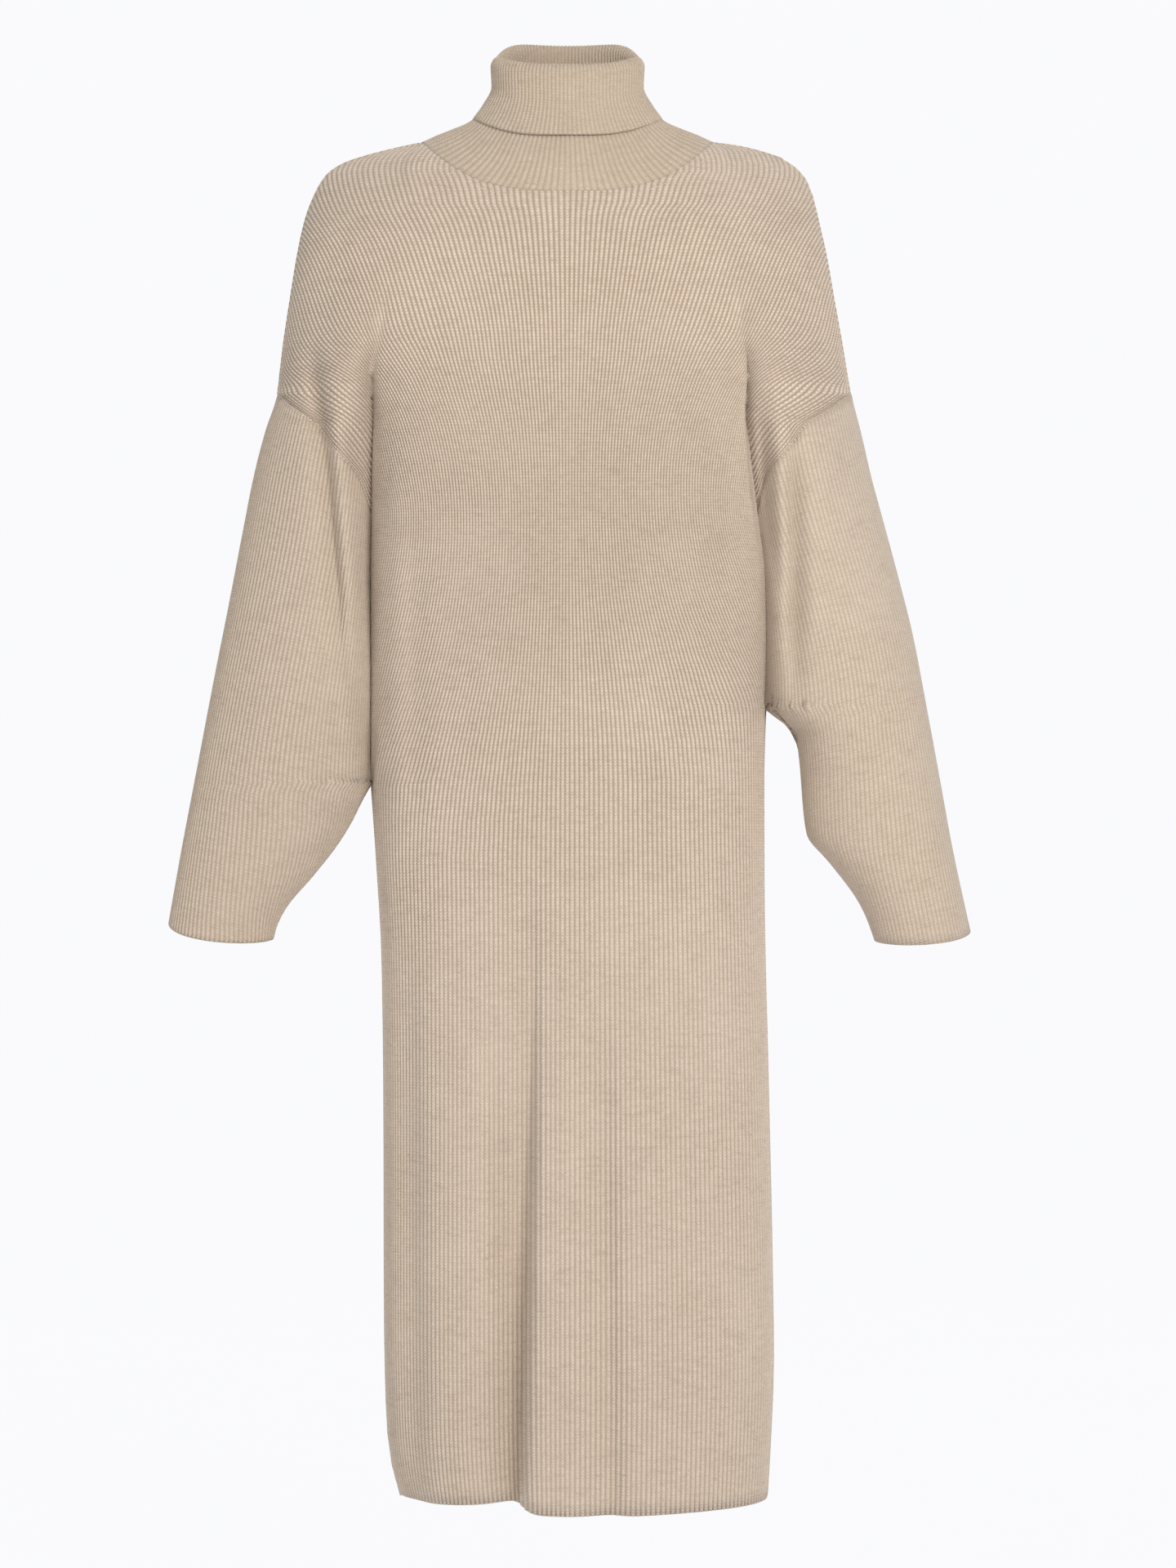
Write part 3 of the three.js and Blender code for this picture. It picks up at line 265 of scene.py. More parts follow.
SHOULDERS = {
    Side.RIGHT: Table(
        "z outer side rib_side rib_outer",
        [
            (1, 125, 105, 21.7, 26), (-4, 148, 122, 25, 30.6), (-11, 175, 138, 27.3, 35),
            (-17.5, 193, 144, 28.7, 38), (-27, 206, 148, 29.6, 40.5), (-45, 216.5, 150, 30.5, 44),
            (-64, 223.5, 150, 31.8, 47.8), (-95, 230.3, 150, 34.5, 55),
            (-130, 236, 152, 37.5, 61.5), (-166, 241.5, 157, 42, 68),
            (-190, 244.5, 160, 49, 73), (-213, 247.3, 162, 57, 78),
            (-246, 258, 164, 66, 78), (-285, 268, 165.5, 72.5, 78), (-320, 275, 166, 78, 78),
            (-393, 289, 167, 70, 78), (-456, 301.5, 167, 62.3, 78), (-545, 318.5, 167, 52, 78),
            (-600, 329, 164.5, 52, 78), (-690, 345, 160.5, 52, 78),
        ],
    ),
    Side.LEFT: Table(
        "z outer side rib_side rib_outer",
        [
            (1, 125, 105, 21.7, 26), (-2.5, 149, 122, 25, 30.6), (-8, 170, 136, 27.3, 34),
            (-13, 184, 142, 28.7, 36.8), (-21, 196, 145, 29.3, 39), (-32, 204.5, 147, 30, 41.3),
            (-50, 210, 148, 31, 44.6), (-73, 215.5, 147, 32.4, 49.8), (-98, 221, 146, 34.5, 55.4),
            (-130, 226.5, 144, 37.5, 61.5), (-166, 233, 144, 42, 68), (-190, 237, 146, 49, 73),
            (-213, 241, 148.5, 57, 78), (-246, 249.5, 152, 66, 78), (-285, 258.5, 156.5, 72.5, 78),
            (-320, 268, 161, 78, 78), (-372, 282, 167.5, 69.6, 78), (-420, 294, 169, 61.8, 78),
            (-480, 305.5, 168.7, 52, 78), (-545, 317.5, 166.7, 52, 78),
            (-600, 327.5, 166.5, 52, 78), (-690, 347, 167.5, 52, 78),
        ],
    ),
}
SLEEVES = {
    Side.RIGHT: SleeveCut(
        -545, -666, -680, 9,
        Table(
            "z inner ribs",
            [
                (-213, 162, 42), (-320, 166, 45), (-545, 167, 54), (-552, 171.5, 54),
                (-562, 177, 53),
                (-580, 186, 50.5), (-600, 198.5, 47.5), (-626, 219, 42.7), (-652, 241, 37.5),
                (-668, 249.5, 35.2), (-680, 253, 34), (-692, 256, 33.4),
            ],
        ),
    ),
    Side.LEFT: SleeveCut(
        -480, -673, -681, 7,
        Table(
            "z inner ribs",
            [
                (-213, 148.5, 42), (-320, 161, 45), (-480, 168.7, 54), (-485, 174, 54),
                (-494, 186, 51), (-503, 196.5, 48.2), (-535, 201, 47.2), (-564, 203, 46.4),
                (-590, 206.5, 45.4), (-613, 225, 41), (-648, 251, 36), (-668, 260.5, 34.5),
                (-681, 264.5, 34), (-692, 267, 33.6),
            ],
        ),
    ),
}
SKIRTS = {
    Side.RIGHT: Table(
        "z side",
        [
            (-545, 167), (-610, 162.5), (-700, 157.5), (-820, 156), (-1000, 155.5), (-1090, 153.5),
            (-1130, 149), (-1160, 141),
        ],
    ),
    Side.LEFT: Table(
        "z side",
        [
            (-480, 168.7), (-540, 166.7), (-640, 167), (-800, 170.5), (-960, 174), (-1040, 175),
            (-1110, 172.5), (-1160, 169.5),
        ],
    ),
}


@dataclass(frozen=True)
class Cut:
    """Sizes and curves of the whole garment, as it hangs on its wearer.

    Ribs are counted from the centre line, or from the overarm on the sleeves. The armhole dives
    into the fold beside the body at its lower end. Pairs are where a change starts and ends, and
    powers round a section off. The fold is sharp near the seam and softened away from it.
    """

    ribs_neck: float = 26
    ribs_side: float = 52
    ribs_panel: float = 78
    ribs_sleeve: float = 54
    ribs_cuff: float = 34
    ribs_dive: float = 45
    neck_half_width: float = 125
    neck_front_drop: float = 49
    neck_back_rise: float = 8
    neck_front_depth: float = 76
    neck_back_depth: float = 62
    shoulder_top: float = 1
    fashioned: tuple[float, float] = (10.5, 25.2)
    fashioned_width: float = 7.0
    armhole_top: float = -213
    armhole_dive: float = -320
    arch_height: float = 90
    armhole_gap: float = 0.45
    fold_room: float = 2.4
    fold_starts: tuple[float, float] = (-100, -240)
    soften: tuple[float, ...] = (-60, -30, 0, 30, 60)
    shoulder_power: float = 2.2
    shoulder_lean: float = 0.06
    body_power: float = 2.4
    neck_power: float = 2.2
    neck_ease: float = 70
    roll_height: float = 90
    roll_ribs: tuple[float, float] = (36, 50)
    fold_sharp_body: tuple[float, float] = (0.5, 1)
    fold_sharp_arm: tuple[float, float] = (0.02, 0.3)
    fold_room_turn: float = 0.09
    fold_bare: tuple[float, float] = (1, 9)
    folds_from: float = 30
    least_ribs: float = 0.01
    squeeze: tuple[float, float] = (0.9, 10)
    hem_back: float = -1157
    seam_start: float = 5
    depth: Table = Table(
        "z front back",
        [
            (5, 58, 60), (-27, 78, 76), (-64, 92, 86), (-100, 100, 92), (-166, 106, 98),
            (-250, 106, 96), (-340, 98, 88), (-440, 90, 84), (-545, 90, 88), (-700, 96, 100),
            (-900, 98, 103), (-1170, 100, 104),
        ],
    )
    fold: Table = Table(
        "z share swell",
        [
            (5, 1, 30), (-64, 1, 36), (-95, 0.97, 36), (-130, 0.9, 35), (-166, 0.8, 34),
            (-213, 0.64, 36), (-250, 0.56, 38), (-320, 0.5, 40), (-400, 0.45, 40),
            (-480, 0.42, 43), (-545, 0.42, 44), (-600, 0.42, 40), (-690, 0.42, 32),
        ],
    )
    armhole: Table = Table(
        "z turn",
        [
            (-213, 2), (-218, 1.84), (-224.7, 1.73), (-234.5, 1.6), (-243, 1.5), (-256, 1.42),
            (-270, 1.33), (-285, 1.21), (-305, 1.1), (-320, 1),
        ],
    )
    hem: Table = Table(
        "rib z",
        [
            (-52, -1153), (-34, -1155), (-13, -1153), (-6, -1160), (8, -1162), (34, -1159),
            (52, -1157),
        ],
    )
    shoulder: dict[Side, Table] = field(default_factory=lambda: SHOULDERS)
    sleeve: dict[Side, SleeveCut] = field(default_factory=lambda: SLEEVES)
    skirt: dict[Side, Table] = field(default_factory=lambda: SKIRTS)


class Form:
    """Outer face of the garment, as a function of the rib and the place along it."""

    section_steps = 48
    neck_rounds = 24
    shoulder_steps = 1200
    fine_steps = 1500
    row_power = 1.8

    def __init__(self, cut: Cut) -> None:
        """Keep the cut."""
        self.cut = cut

    def section(self, width: Array, depth: Array, share: Array) -> Array:
        """Quarter of a rounded section: x^p + y^p = 1 walked by length from the middle to the side.

        Args:
            width: half widths.
            depth: depths.
            share: share of the quarter's length, 0 in the middle and 1 at the side.

        Returns:
            Shares of the width and of the depth, stacked.
        """
        a = np.linspace(0.0, math.pi / 2, self.section_steps + 1)
        x = np.sin(a) ** (2 / self.cut.body_power)
        y = np.maximum(0.0, np.cos(a)) ** (2 / self.cut.body_power)
        w, d, s = (v.ravel() for v in np.broadcast_arrays(width, depth, share))
        steps = np.hypot(np.diff(x)[None] * w[:, None], np.diff(y)[None] * d[:, None])
        lengths = so_far(steps, 1)
        goal = np.clip(s, 0, 1) * lengths[:, -1]
        i = np.clip((lengths < goal[:, None]).sum(1), 1, self.section_steps)
        row = np.arange(len(w))
        before = lengths[row, i - 1]
        part = (goal - before) / np.maximum(TINY, lengths[row, i] - before)
        out = np.stack([mix(x[i - 1], x[i], part), mix(y[i - 1], y[i], part)])
        return out.reshape(2, *np.broadcast(width, depth, share).shape)

    def softened(self, curve: Callable[[Array], Array], z: Array) -> Array:
        """Mean of a curve over the heights about each height."""
        return sum(curve(z + step) for step in self.cut.soften) / len(self.cut.soften)

    def notch(self, side: Side, face: Face, z: Array) -> Array:
        """Depth of the fold between body and arm, which rounds off to nothing at the underarm.

        Args:
            side: wearer's side.
            face: front or back.
            z: heights.

        Returns:
            Depths in from the middle plane.
        """
        cut = self.cut
        underarm = cut.sleeve[side].underarm
        arch = round_off((z - underarm) / cut.arch_height)
        whole = cut.depth.read(face.value, z) * cut.fold.read("share", z)
        return np.where(z >= underarm, whole * arch, 0.0)

    def surface(
        self, side: Side, face: Face, turn: Array, z: Array, on_sleeve: bool = False
    ) -> Array:
        """Point of the outer face: turn 0 is the centre line, 1 the side and 2 the overarm.

        The body is a rounded section and the arm an ellipse beside it, with a fold between them;
        over the shoulders both give way to one rounded section from arm to arm.

        Args:
            side: wearer's side.
            face: front or back.
            turn: place round the half section.
            z: heights.
            on_sleeve: whether the point lies on the sleeve.

        Returns:
            Points, with the last axis for x, y and z.
        """
        cut = self.cut
        sleeve, shoulder = cut.sleeve[side], cut.shoulder[side]
        turn, z = (np.array(v) for v in np.broadcast_arrays(turn, z))
        above = z >= sleeve.underarm
        depth = cut.depth.read(face.value, z)
        width = np.where(above, shoulder.read("side", z), cut.skirt[side].read("side", z))
        body = (turn <= 1) & (not on_sleeve)
        notch = self.notch(side, face, z)
        even = self.softened(lambda h: self.notch(side, face, h), z)
        sharp_arm = 1 - smooth(*cut.fold_sharp_arm, turn - 1)
        near = np.where(body, smooth(*cut.fold_sharp_body, turn), sharp_arm)
        notch = mix(even, notch, near)
        outer = shoulder.read("outer", z)
        across, deep = self.section(width, depth - notch, turn)
        inner = np.where(above, width, sleeve.rows.read("inner", z))
        inner = inner + (cut.armhole_gap if on_sleeve else 0.0)
        a = (turn - 1.0) * math.pi
        room = cut.fold_room * smooth(0, cut.fold_room_turn, turn - 1) * (1 + np.cos(a)) / 2
        arm_x = inner + (outer - inner) * (1 - np.cos(a)) / 2 + np.where(above, room, 0.0)
        arm_y = cut.fold.read("swell", z) * np.sin(a) + notch * (1 + np.cos(a)) / 2
        x = np.where(body, width * across, arm_x)
        y = np.where(body, notch + (depth - notch) * deep, arm_y)
        p = cut.shoulder_power
        wholeness = smooth(cut.fold_starts[1], cut.fold_starts[0], z)
        part = shoulder.read("rib_side", z) / shoulder.read("rib_outer", z)
        out = np.where(turn <= 1, turn * part, mix(part, 1.0, turn - 1))
        lean = 1 + cut.shoulder_lean - cut.shoulder_lean * out**3
        x = mix(x, outer * out * lean, wholeness)
        whole = depth * np.maximum(0.0, 1 - (x / outer) ** p) ** (1 / p)
        y = mix(y, whole, wholeness)
        folds = FRONT_FOLDS if face is Face.FRONT else BACK_FOLDS
        drawn = sum(fold.draw_in(side.value * x, z) for fold in folds)
        y = y - smooth(0, cut.folds_from, y) * drawn
        return np.stack([side.value * x, face.sign * y, z], -1)

    def rib_turn(self, side: Side, rib: Array, z: Array) -> Array:
        """Place round the half section at which a rib of a body panel lies at a height.

        Args:
            side: wearer's side.
            rib: ribs from the centre line.
            z: heights.

        Returns:
            Places, as surface takes them.
        """
        cut, shoulder = self.cut, self.cut.shoulder[side]
        underarm = cut.sleeve[side].underarm

        def ribs_to(h: Array) -> Array:
            """Rib at the fold or side seam."""
            return np.where(h < underarm, cut.ribs_side, shoulder.read("rib_side", h))

        at_side = ribs_to(z)
        sharp = smooth(*cut.fold_sharp_body, rib / at_side)
        even = mix(self.softened(ribs_to, z), at_side, sharp)
        at_outer = shoulder.read("rib_outer", z)
        cut_off = 2.0 - np.where(z > cut.armhole_top, 2.0, cut.armhole.read("turn", z))
        past = np.clip((rib - at_side) / np.maximum(cut.least_ribs, at_outer - at_side), 0, 1)
        share, most = cut.squeeze
        squeeze = np.clip(share / np.maximum(cut.least_ribs, cut_off), 1, most)
        over = np.where(z < underarm, 1.0, 1 + past - cut_off * past**squeeze)
        return np.where(rib <= at_side, rib / even, over)

    def neck_edge(self, face: Face, across: Array) -> tuple[Array, Array]:
        """Depth and height of the neck edge at shares of its half width.

        Args:
            face: front or back.
            across: shares of the half width.

        Returns:
            Depths and heights.
        """
        cut = self.cut
        deep = np.maximum(0.0, 1 - across**cut.neck_power) ** (1 / cut.neck_power)
        top = cut.shoulder_top
        if face is Face.FRONT:
            return -cut.neck_front_depth * deep, top - cut.neck_front_drop * (1 - across**3)
        return cut.neck_back_depth * deep, top + cut.neck_back_rise * (1 - across**2)

    def rib_start(self, side: Side, rib: Array, face: Face) -> Array:
        """Where ribs start: cut off by the neck edge, then along the shoulder line and the overarm.

        Args:
            side: wearer's side.
            rib: ribs from the centre line.
            face: front or back.

        Returns:
            Points.
        """
        cut, shoulder = self.cut, self.cut.shoulder[side]
        across = np.clip(rib / cut.ribs_neck, 0, 1)
        for _ in range(self.neck_rounds):
            neck_y, neck_z = self.neck_edge(face, across)
            meets = self.surface(side, face, self.rib_turn(side, rib, neck_z), neck_z)[..., 0]
            across = np.clip((across + np.abs(meets) / cut.neck_half_width) / 2, 0, 1)
        neck_y, neck_z = self.neck_edge(face, across)
        heights = np.linspace(cut.shoulder_top, cut.armhole_top, self.shoulder_steps)
        z = np.interp(rib, shoulder.read("rib_outer", heights), heights)
        on_neck = rib < cut.ribs_neck
        x = np.where(on_neck, cut.neck_half_width * across, shoulder.read("outer", z))
        y = np.where(on_neck, neck_y, 0.0)
        return np.stack([side.value * x, y, np.where(on_neck, neck_z, z)], -1)

    def rib_waist(self, side: Side, rib: Array) -> Array:
        """Height at which ribs leave the upper part, at the underarms or the armhole's fold.

        Args:
            side: wearer's side.
            rib: ribs from the centre line.

        Returns:
            Heights.
        """
        cut = self.cut
        right, left = cut.sleeve[Side.RIGHT].underarm, cut.sleeve[Side.LEFT].underarm
        level = mix(right, left, (side.value * rib + cut.ribs_side) / (2 * cut.ribs_side))
        share = (rib - cut.ribs_side) / (cut.ribs_panel - cut.ribs_side)
        dive = mix(cut.sleeve[side].underarm, cut.armhole_dive, share)
        return np.where(rib <= cut.ribs_side, level, dive)

    def upper(self, side: Side, rib: Array, share: Array, face: Face) -> Array:
        """Upper part of a panel: each rib runs from its start at share 0 to the waist at share 1.

        Args:
            side: wearer's side.
            rib: ribs from the centre line, one for each column.
            share: places along the rib, one for each row.
            face: front or back.

        Returns:
            Points by row and column.
        """
        start = self.rib_start(side, rib, face)
        top, end = start[:, 2], self.rib_waist(side, rib)
        z = mix(top[None], end[None], share[:, None] ** self.row_power)
        fall = top[None] - z
        ribs = np.broadcast_to(rib[None], z.shape)
        here = self.surface(side, face, self.rib_turn(side, ribs, z), z)
        first = self.surface(side, face, self.rib_turn(side, rib, top), top)
        shift = (start[:, 0] - first[:, 0])[None]
        x = here[..., 0] + shift * np.exp(-((fall / self.cut.neck_ease) ** 2))
        turn_over = self.cut.roll_height * (1 - smooth(*self.cut.roll_ribs, ribs))
        rounding = round_off(fall / np.maximum(turn_over, 1e-6))
        y = np.where(turn_over < 1, here[..., 1], mix(start[None, :, 1], here[..., 1], rounding))
        return np.stack([x, y, z], -1)

    def lower(self, side: Side, rib: Array, share: Array, face: Face) -> Array:
        """Lower part of a panel, from the underarms' level to the hem, by row and column.

        Args:
            side: wearer's side.
            rib: ribs from the centre line.
            share: places along the rib.
            face: front or back.

        Returns:
            Points by row and column.
        """
        cut = self.cut
        top = self.rib_waist(side, rib)
        hem = cut.hem.read("z", side.value * rib) if face is Face.FRONT else cut.hem_back + 0 * rib
        z = mix(top[None], hem[None], share[:, None])
        ribs = np.broadcast_to(rib[None], z.shape)
        return self.surface(side, face, self.rib_turn(side, ribs, z), z)

    def sleeve_rib_end(self, side: Side, rib: Array) -> Array:
        """Height at which sleeve ribs end, on the cuff or on the underarm seam.

        Args:
            side: wearer's side.
            rib: ribs from the overarm.

        Returns:
            Heights.
        """
        cut, sleeve = self.cut, self.cut.sleeve[side]
        share = rib / cut.ribs_cuff
        cuff = mix(sleeve.cuff_top, sleeve.cuff_end, share)
        cuff = cuff - sleeve.cuff_sag * np.sin(math.pi * np.clip(share, 0, 1))
        z = np.linspace(sleeve.underarm - cut.seam_start, sleeve.cuff_end, self.fine_steps)
        seam = np.interp(-rib, -sleeve.rows.read("ribs", z), z)
        return np.where(rib <= cut.ribs_cuff, cuff, seam)

    def sleeve(self, side: Side, face: Face, rib: Array, top: Array, share: Array) -> Array:
        """Half of a sleeve: its ribs run level with the overarm and are cut off by the underarm.

        Args:
            side: wearer's side.
            face: front or back.
            rib: ribs from the overarm, one for each column.
            top: heights where they start.
            share: places along the rib, one for each row.

        Returns:
            Points by row and column.
        """
        z = mix(top[None], self.sleeve_rib_end(side, rib)[None], share[:, None])
        ribs = self.cut.sleeve[side].rows.read("ribs", z)
        turn = np.maximum(1.0, 2.0 - rib[None] / ribs)
        return self.surface(side, face, turn, z, on_sleeve=True)

    def near_fold(self, side: Side, points: Array) -> Array:
        """Share of its height that a rib has: little at the bottom of the fold beside the body.

        Args:
            side: wearer's side.
            points: points of the outer face.

        Returns:
            Shares of the rib's height.
        """
        cut = self.cut
        underarm = cut.sleeve[side].underarm
        z = np.maximum(points[..., 2], underarm)
        face = Face.FRONT if points[..., 1].mean() < 0 else Face.BACK
        notch = self.notch(side, face, z)
        across = np.abs(points[..., 0]) - cut.shoulder[side].read("side", z)
        down = np.maximum(0.0, underarm - points[..., 2])
        away = np.sqrt(across**2 + (np.abs(points[..., 1]) - notch) ** 2 + down**2)
        return np.where(points[..., 2] > cut.fold_starts[0], 1.0, smooth(*cut.fold_bare, away))


@dataclass(frozen=True)
class Rib:
    """Profile of the rib knit, raised in a wall's outer face."""

    height: float = 1.35
    course: float = 2.46
    level: float = 0.85
    columns: int = 4
    breadth: float = 0.55
    fade: float = 2.5

    def crest(self, rib: Array, sign: float = 1.0) -> Array:
        """Broad crest of 1 on whole ribs and a narrow gap between, or the reverse for sign -1."""
        return (0.5 + sign * 0.5 * np.cos(2 * math.pi * np.asarray(rib, float))) ** self.breadth

    def lift(self, rib: Array) -> Array:
        """Height of the rib over the ground."""
        return self.height * self.crest(rib)


RIB = Rib()


class Wall:
    """Closed thin wall on a garment's outer face: outer cells, coarser inner cells and rims."""

    def __init__(self) -> None:
        """Start with no points."""
        self.blocks: list[Array] = []
        self.lifts: list[Array] = []
        self.count = 0
        self.grids: list[tuple[Array, Array]] = []
        self.rings: list[Array] = []
        self.flat: list[Array] = []

    def add(self, points: Array, lift: Array) -> Array:
        """Add a grid of points, each with the height of its rib.

        Args:
            points: points by row and column.
            lift: heights by row and column.

        Returns:
            The points' numbers by row and column.
        """
        rows, columns = points.shape[:2]
        numbers = self.count + np.arange(rows * columns).reshape(rows, columns)
        self.blocks.append(points.reshape(-1, 3))
        self.lifts.append(np.broadcast_to(lift, (rows, columns)).reshape(-1))
        self.count += rows * columns
        return numbers

    def grid(self, numbers: Array, coords: Array) -> None:
        """Join a grid of numbers into cells, with its rib and course at each corner."""
        self.grids.append((numbers, coords))

    @staticmethod
    def cells(numbers: Array, coords: Array) -> tuple[Array, Array]:
        """Two triangles for each cell of a grid, and the coordinates of their corners.

        Args:
            numbers: point numbers by row and column.
            coords: rib and course of each.

        Returns:
            Triangles and the coordinates of their corners, without triangles that have no area.
        """
        corner = [np.s_[:-1, :-1], np.s_[1:, :-1], np.s_[1:, 1:], np.s_[:-1, 1:]]
        n = [numbers[c].ravel() for c in corner]
        k = [coords[c].reshape(-1, 2) for c in corner]
        faces, uv = (
            np.concatenate([np.stack([v[i] for i in three], 1) for three in ((0, 1, 2), (0, 2, 3))])
            for v in (n, k)
        )
        whole = (faces != np.roll(faces, 1, axis=1)).all(1)
        return faces[whole], uv[whole]

    def normals(self, points: Array, faces: Array) -> Array:
        """Unit normals of points, each the sum of its faces' area vectors.

        Args:
            points: the points.
            faces: triangles.

        Returns:
            One normal for each point.
        """
        a, b, c = (points[faces[:, i]] for i in range(3))
        area = np.cross(b - a, c - a)
        out = np.zeros_like(points)
        for axis in range(3):
            for i in range(3):
                out[:, axis] += np.bincount(faces[:, i], area[:, axis], len(points))
        for numbers in self.flat:
            out[numbers, 1] = 0.0
        return unit(out)

    def build(self, thickness: float) -> tuple[Array, Array, Array]:
        """Work out the closed wall.

        Args:
            thickness: wall between two ribs.

        Returns:
            Points, triangles and the rib and course at each triangle's corners.
        """
        base = np.concatenate(self.blocks)
        lift = np.concatenate(self.lifts)
        faces, uv = self.joined(1)
        normal = self.normals(base, faces)
        if self.volume(base + normal, faces) < self.volume(base, faces):
            normal = -normal
        points = np.concatenate([base + normal * lift[:, None], base - normal * thickness])
        inside, inside_uv = self.joined(2)
        at = np.zeros((self.count, 2))
        at[faces.ravel()] = uv.reshape(-1, 2)
        rim = np.concatenate([self.rim(ring, faces) for ring in self.rings])
        faces = np.concatenate([faces, inside[:, ::-1] + self.count, rim])
        uv = np.concatenate([uv, inside_uv[:, ::-1], at[rim % self.count]])
        return *self.compact(points, faces), uv

    def joined(self, step: int) -> tuple[Array, Array]:
        """Triangles of every grid and their coordinates, by whole steps of rows and columns."""
        parts = [self.cells(n[::step, ::step], c[::step, ::step]) for n, c in self.grids]
        return np.concatenate([f for f, _ in parts]), np.concatenate([u for _, u in parts])

    @staticmethod
    def compact(points: Array, faces: Array) -> tuple[Array, Array]:
        """Leave out the points that no triangle uses, and number the others anew."""
        used, numbers = np.unique(faces, return_inverse=True)
        return points[used], numbers.reshape(-1, 3)

    @staticmethod
    def volume(points: Array, faces: Array) -> float:
        """Signed volume under an open or closed set of triangles."""
        a, b, c = (points[faces[:, i]] for i in range(3))
        return float(np.einsum("ij,ij->i", a, np.cross(b, c)).sum() / 6)

    def rim(self, ring: Array, faces: Array) -> Array:
        """Rim along a ring of outer points, to the inner points under every second of them.

        Args:
            ring: numbers of the outer points.
            faces: the outer triangles.

        Returns:
            Triangles.
        """
        a0, a1, a2 = ring[0::2], ring[1::2], np.roll(ring[0::2], -1)
        b0, b1 = a0 + self.count, a2 + self.count
        edges = np.concatenate([faces[:, [0, 1]], faces[:, [1, 2]], faces[:, [2, 0]]])
        along = bool(((edges[:, 0] == a0[0]) & (edges[:, 1] == a1[0])).any())
        strips = [np.stack([a0, b0, a1], 1), np.stack([a1, b0, b1], 1), np.stack([a1, b1, a2], 1)]
        out = np.concatenate(strips)
        return out if along else out[:, ::-1]


def make_piece(name: str, points: Array, faces: Array, uv: Array) -> bpy.types.Object:
    """Put triangles into a mesh object at the origin, with its ribs and courses as a UV map.

    Args:
        name: the piece's name.
        points: points in millimetres.
        faces: triangles.
        uv: rib and course at each triangle's corners.

    Returns:
        The object.
    """
    mesh = bpy.data.meshes.new(name)
    mesh.vertices.add(len(points))
    mesh.vertices.foreach_set("co", (points * MM).astype(np.float32).ravel())
    mesh.loops.add(faces.size)
    mesh.loops.foreach_set("vertex_index", faces.astype(np.int32).ravel())
    mesh.polygons.add(len(faces))
    mesh.polygons.foreach_set("loop_start", np.arange(0, faces.size, 3, dtype=np.int32))
    mesh.polygons.foreach_set("use_smooth", np.ones(len(faces), bool))
    mesh.update(calc_edges=True)
    layer = mesh.uv_layers.new(name="knit")
    layer.data.foreach_set("uv", (uv * UV_UNIT).astype(np.float32).ravel())
    mesh.validate()
    return put(name, mesh)


def length_along(points: Array) -> Array:
    """Length so far down each column of points, or along one line of them."""
    return so_far(np.linalg.norm(np.diff(points, axis=0), axis=-1))


def knit_coords(rib: Array, counts: Array) -> Array:
    """Rib and course of each point of a grid, whose columns are ribs."""
    return np.stack([np.broadcast_to(rib[None] + RIB_ORIGIN, counts.shape), counts], -1)


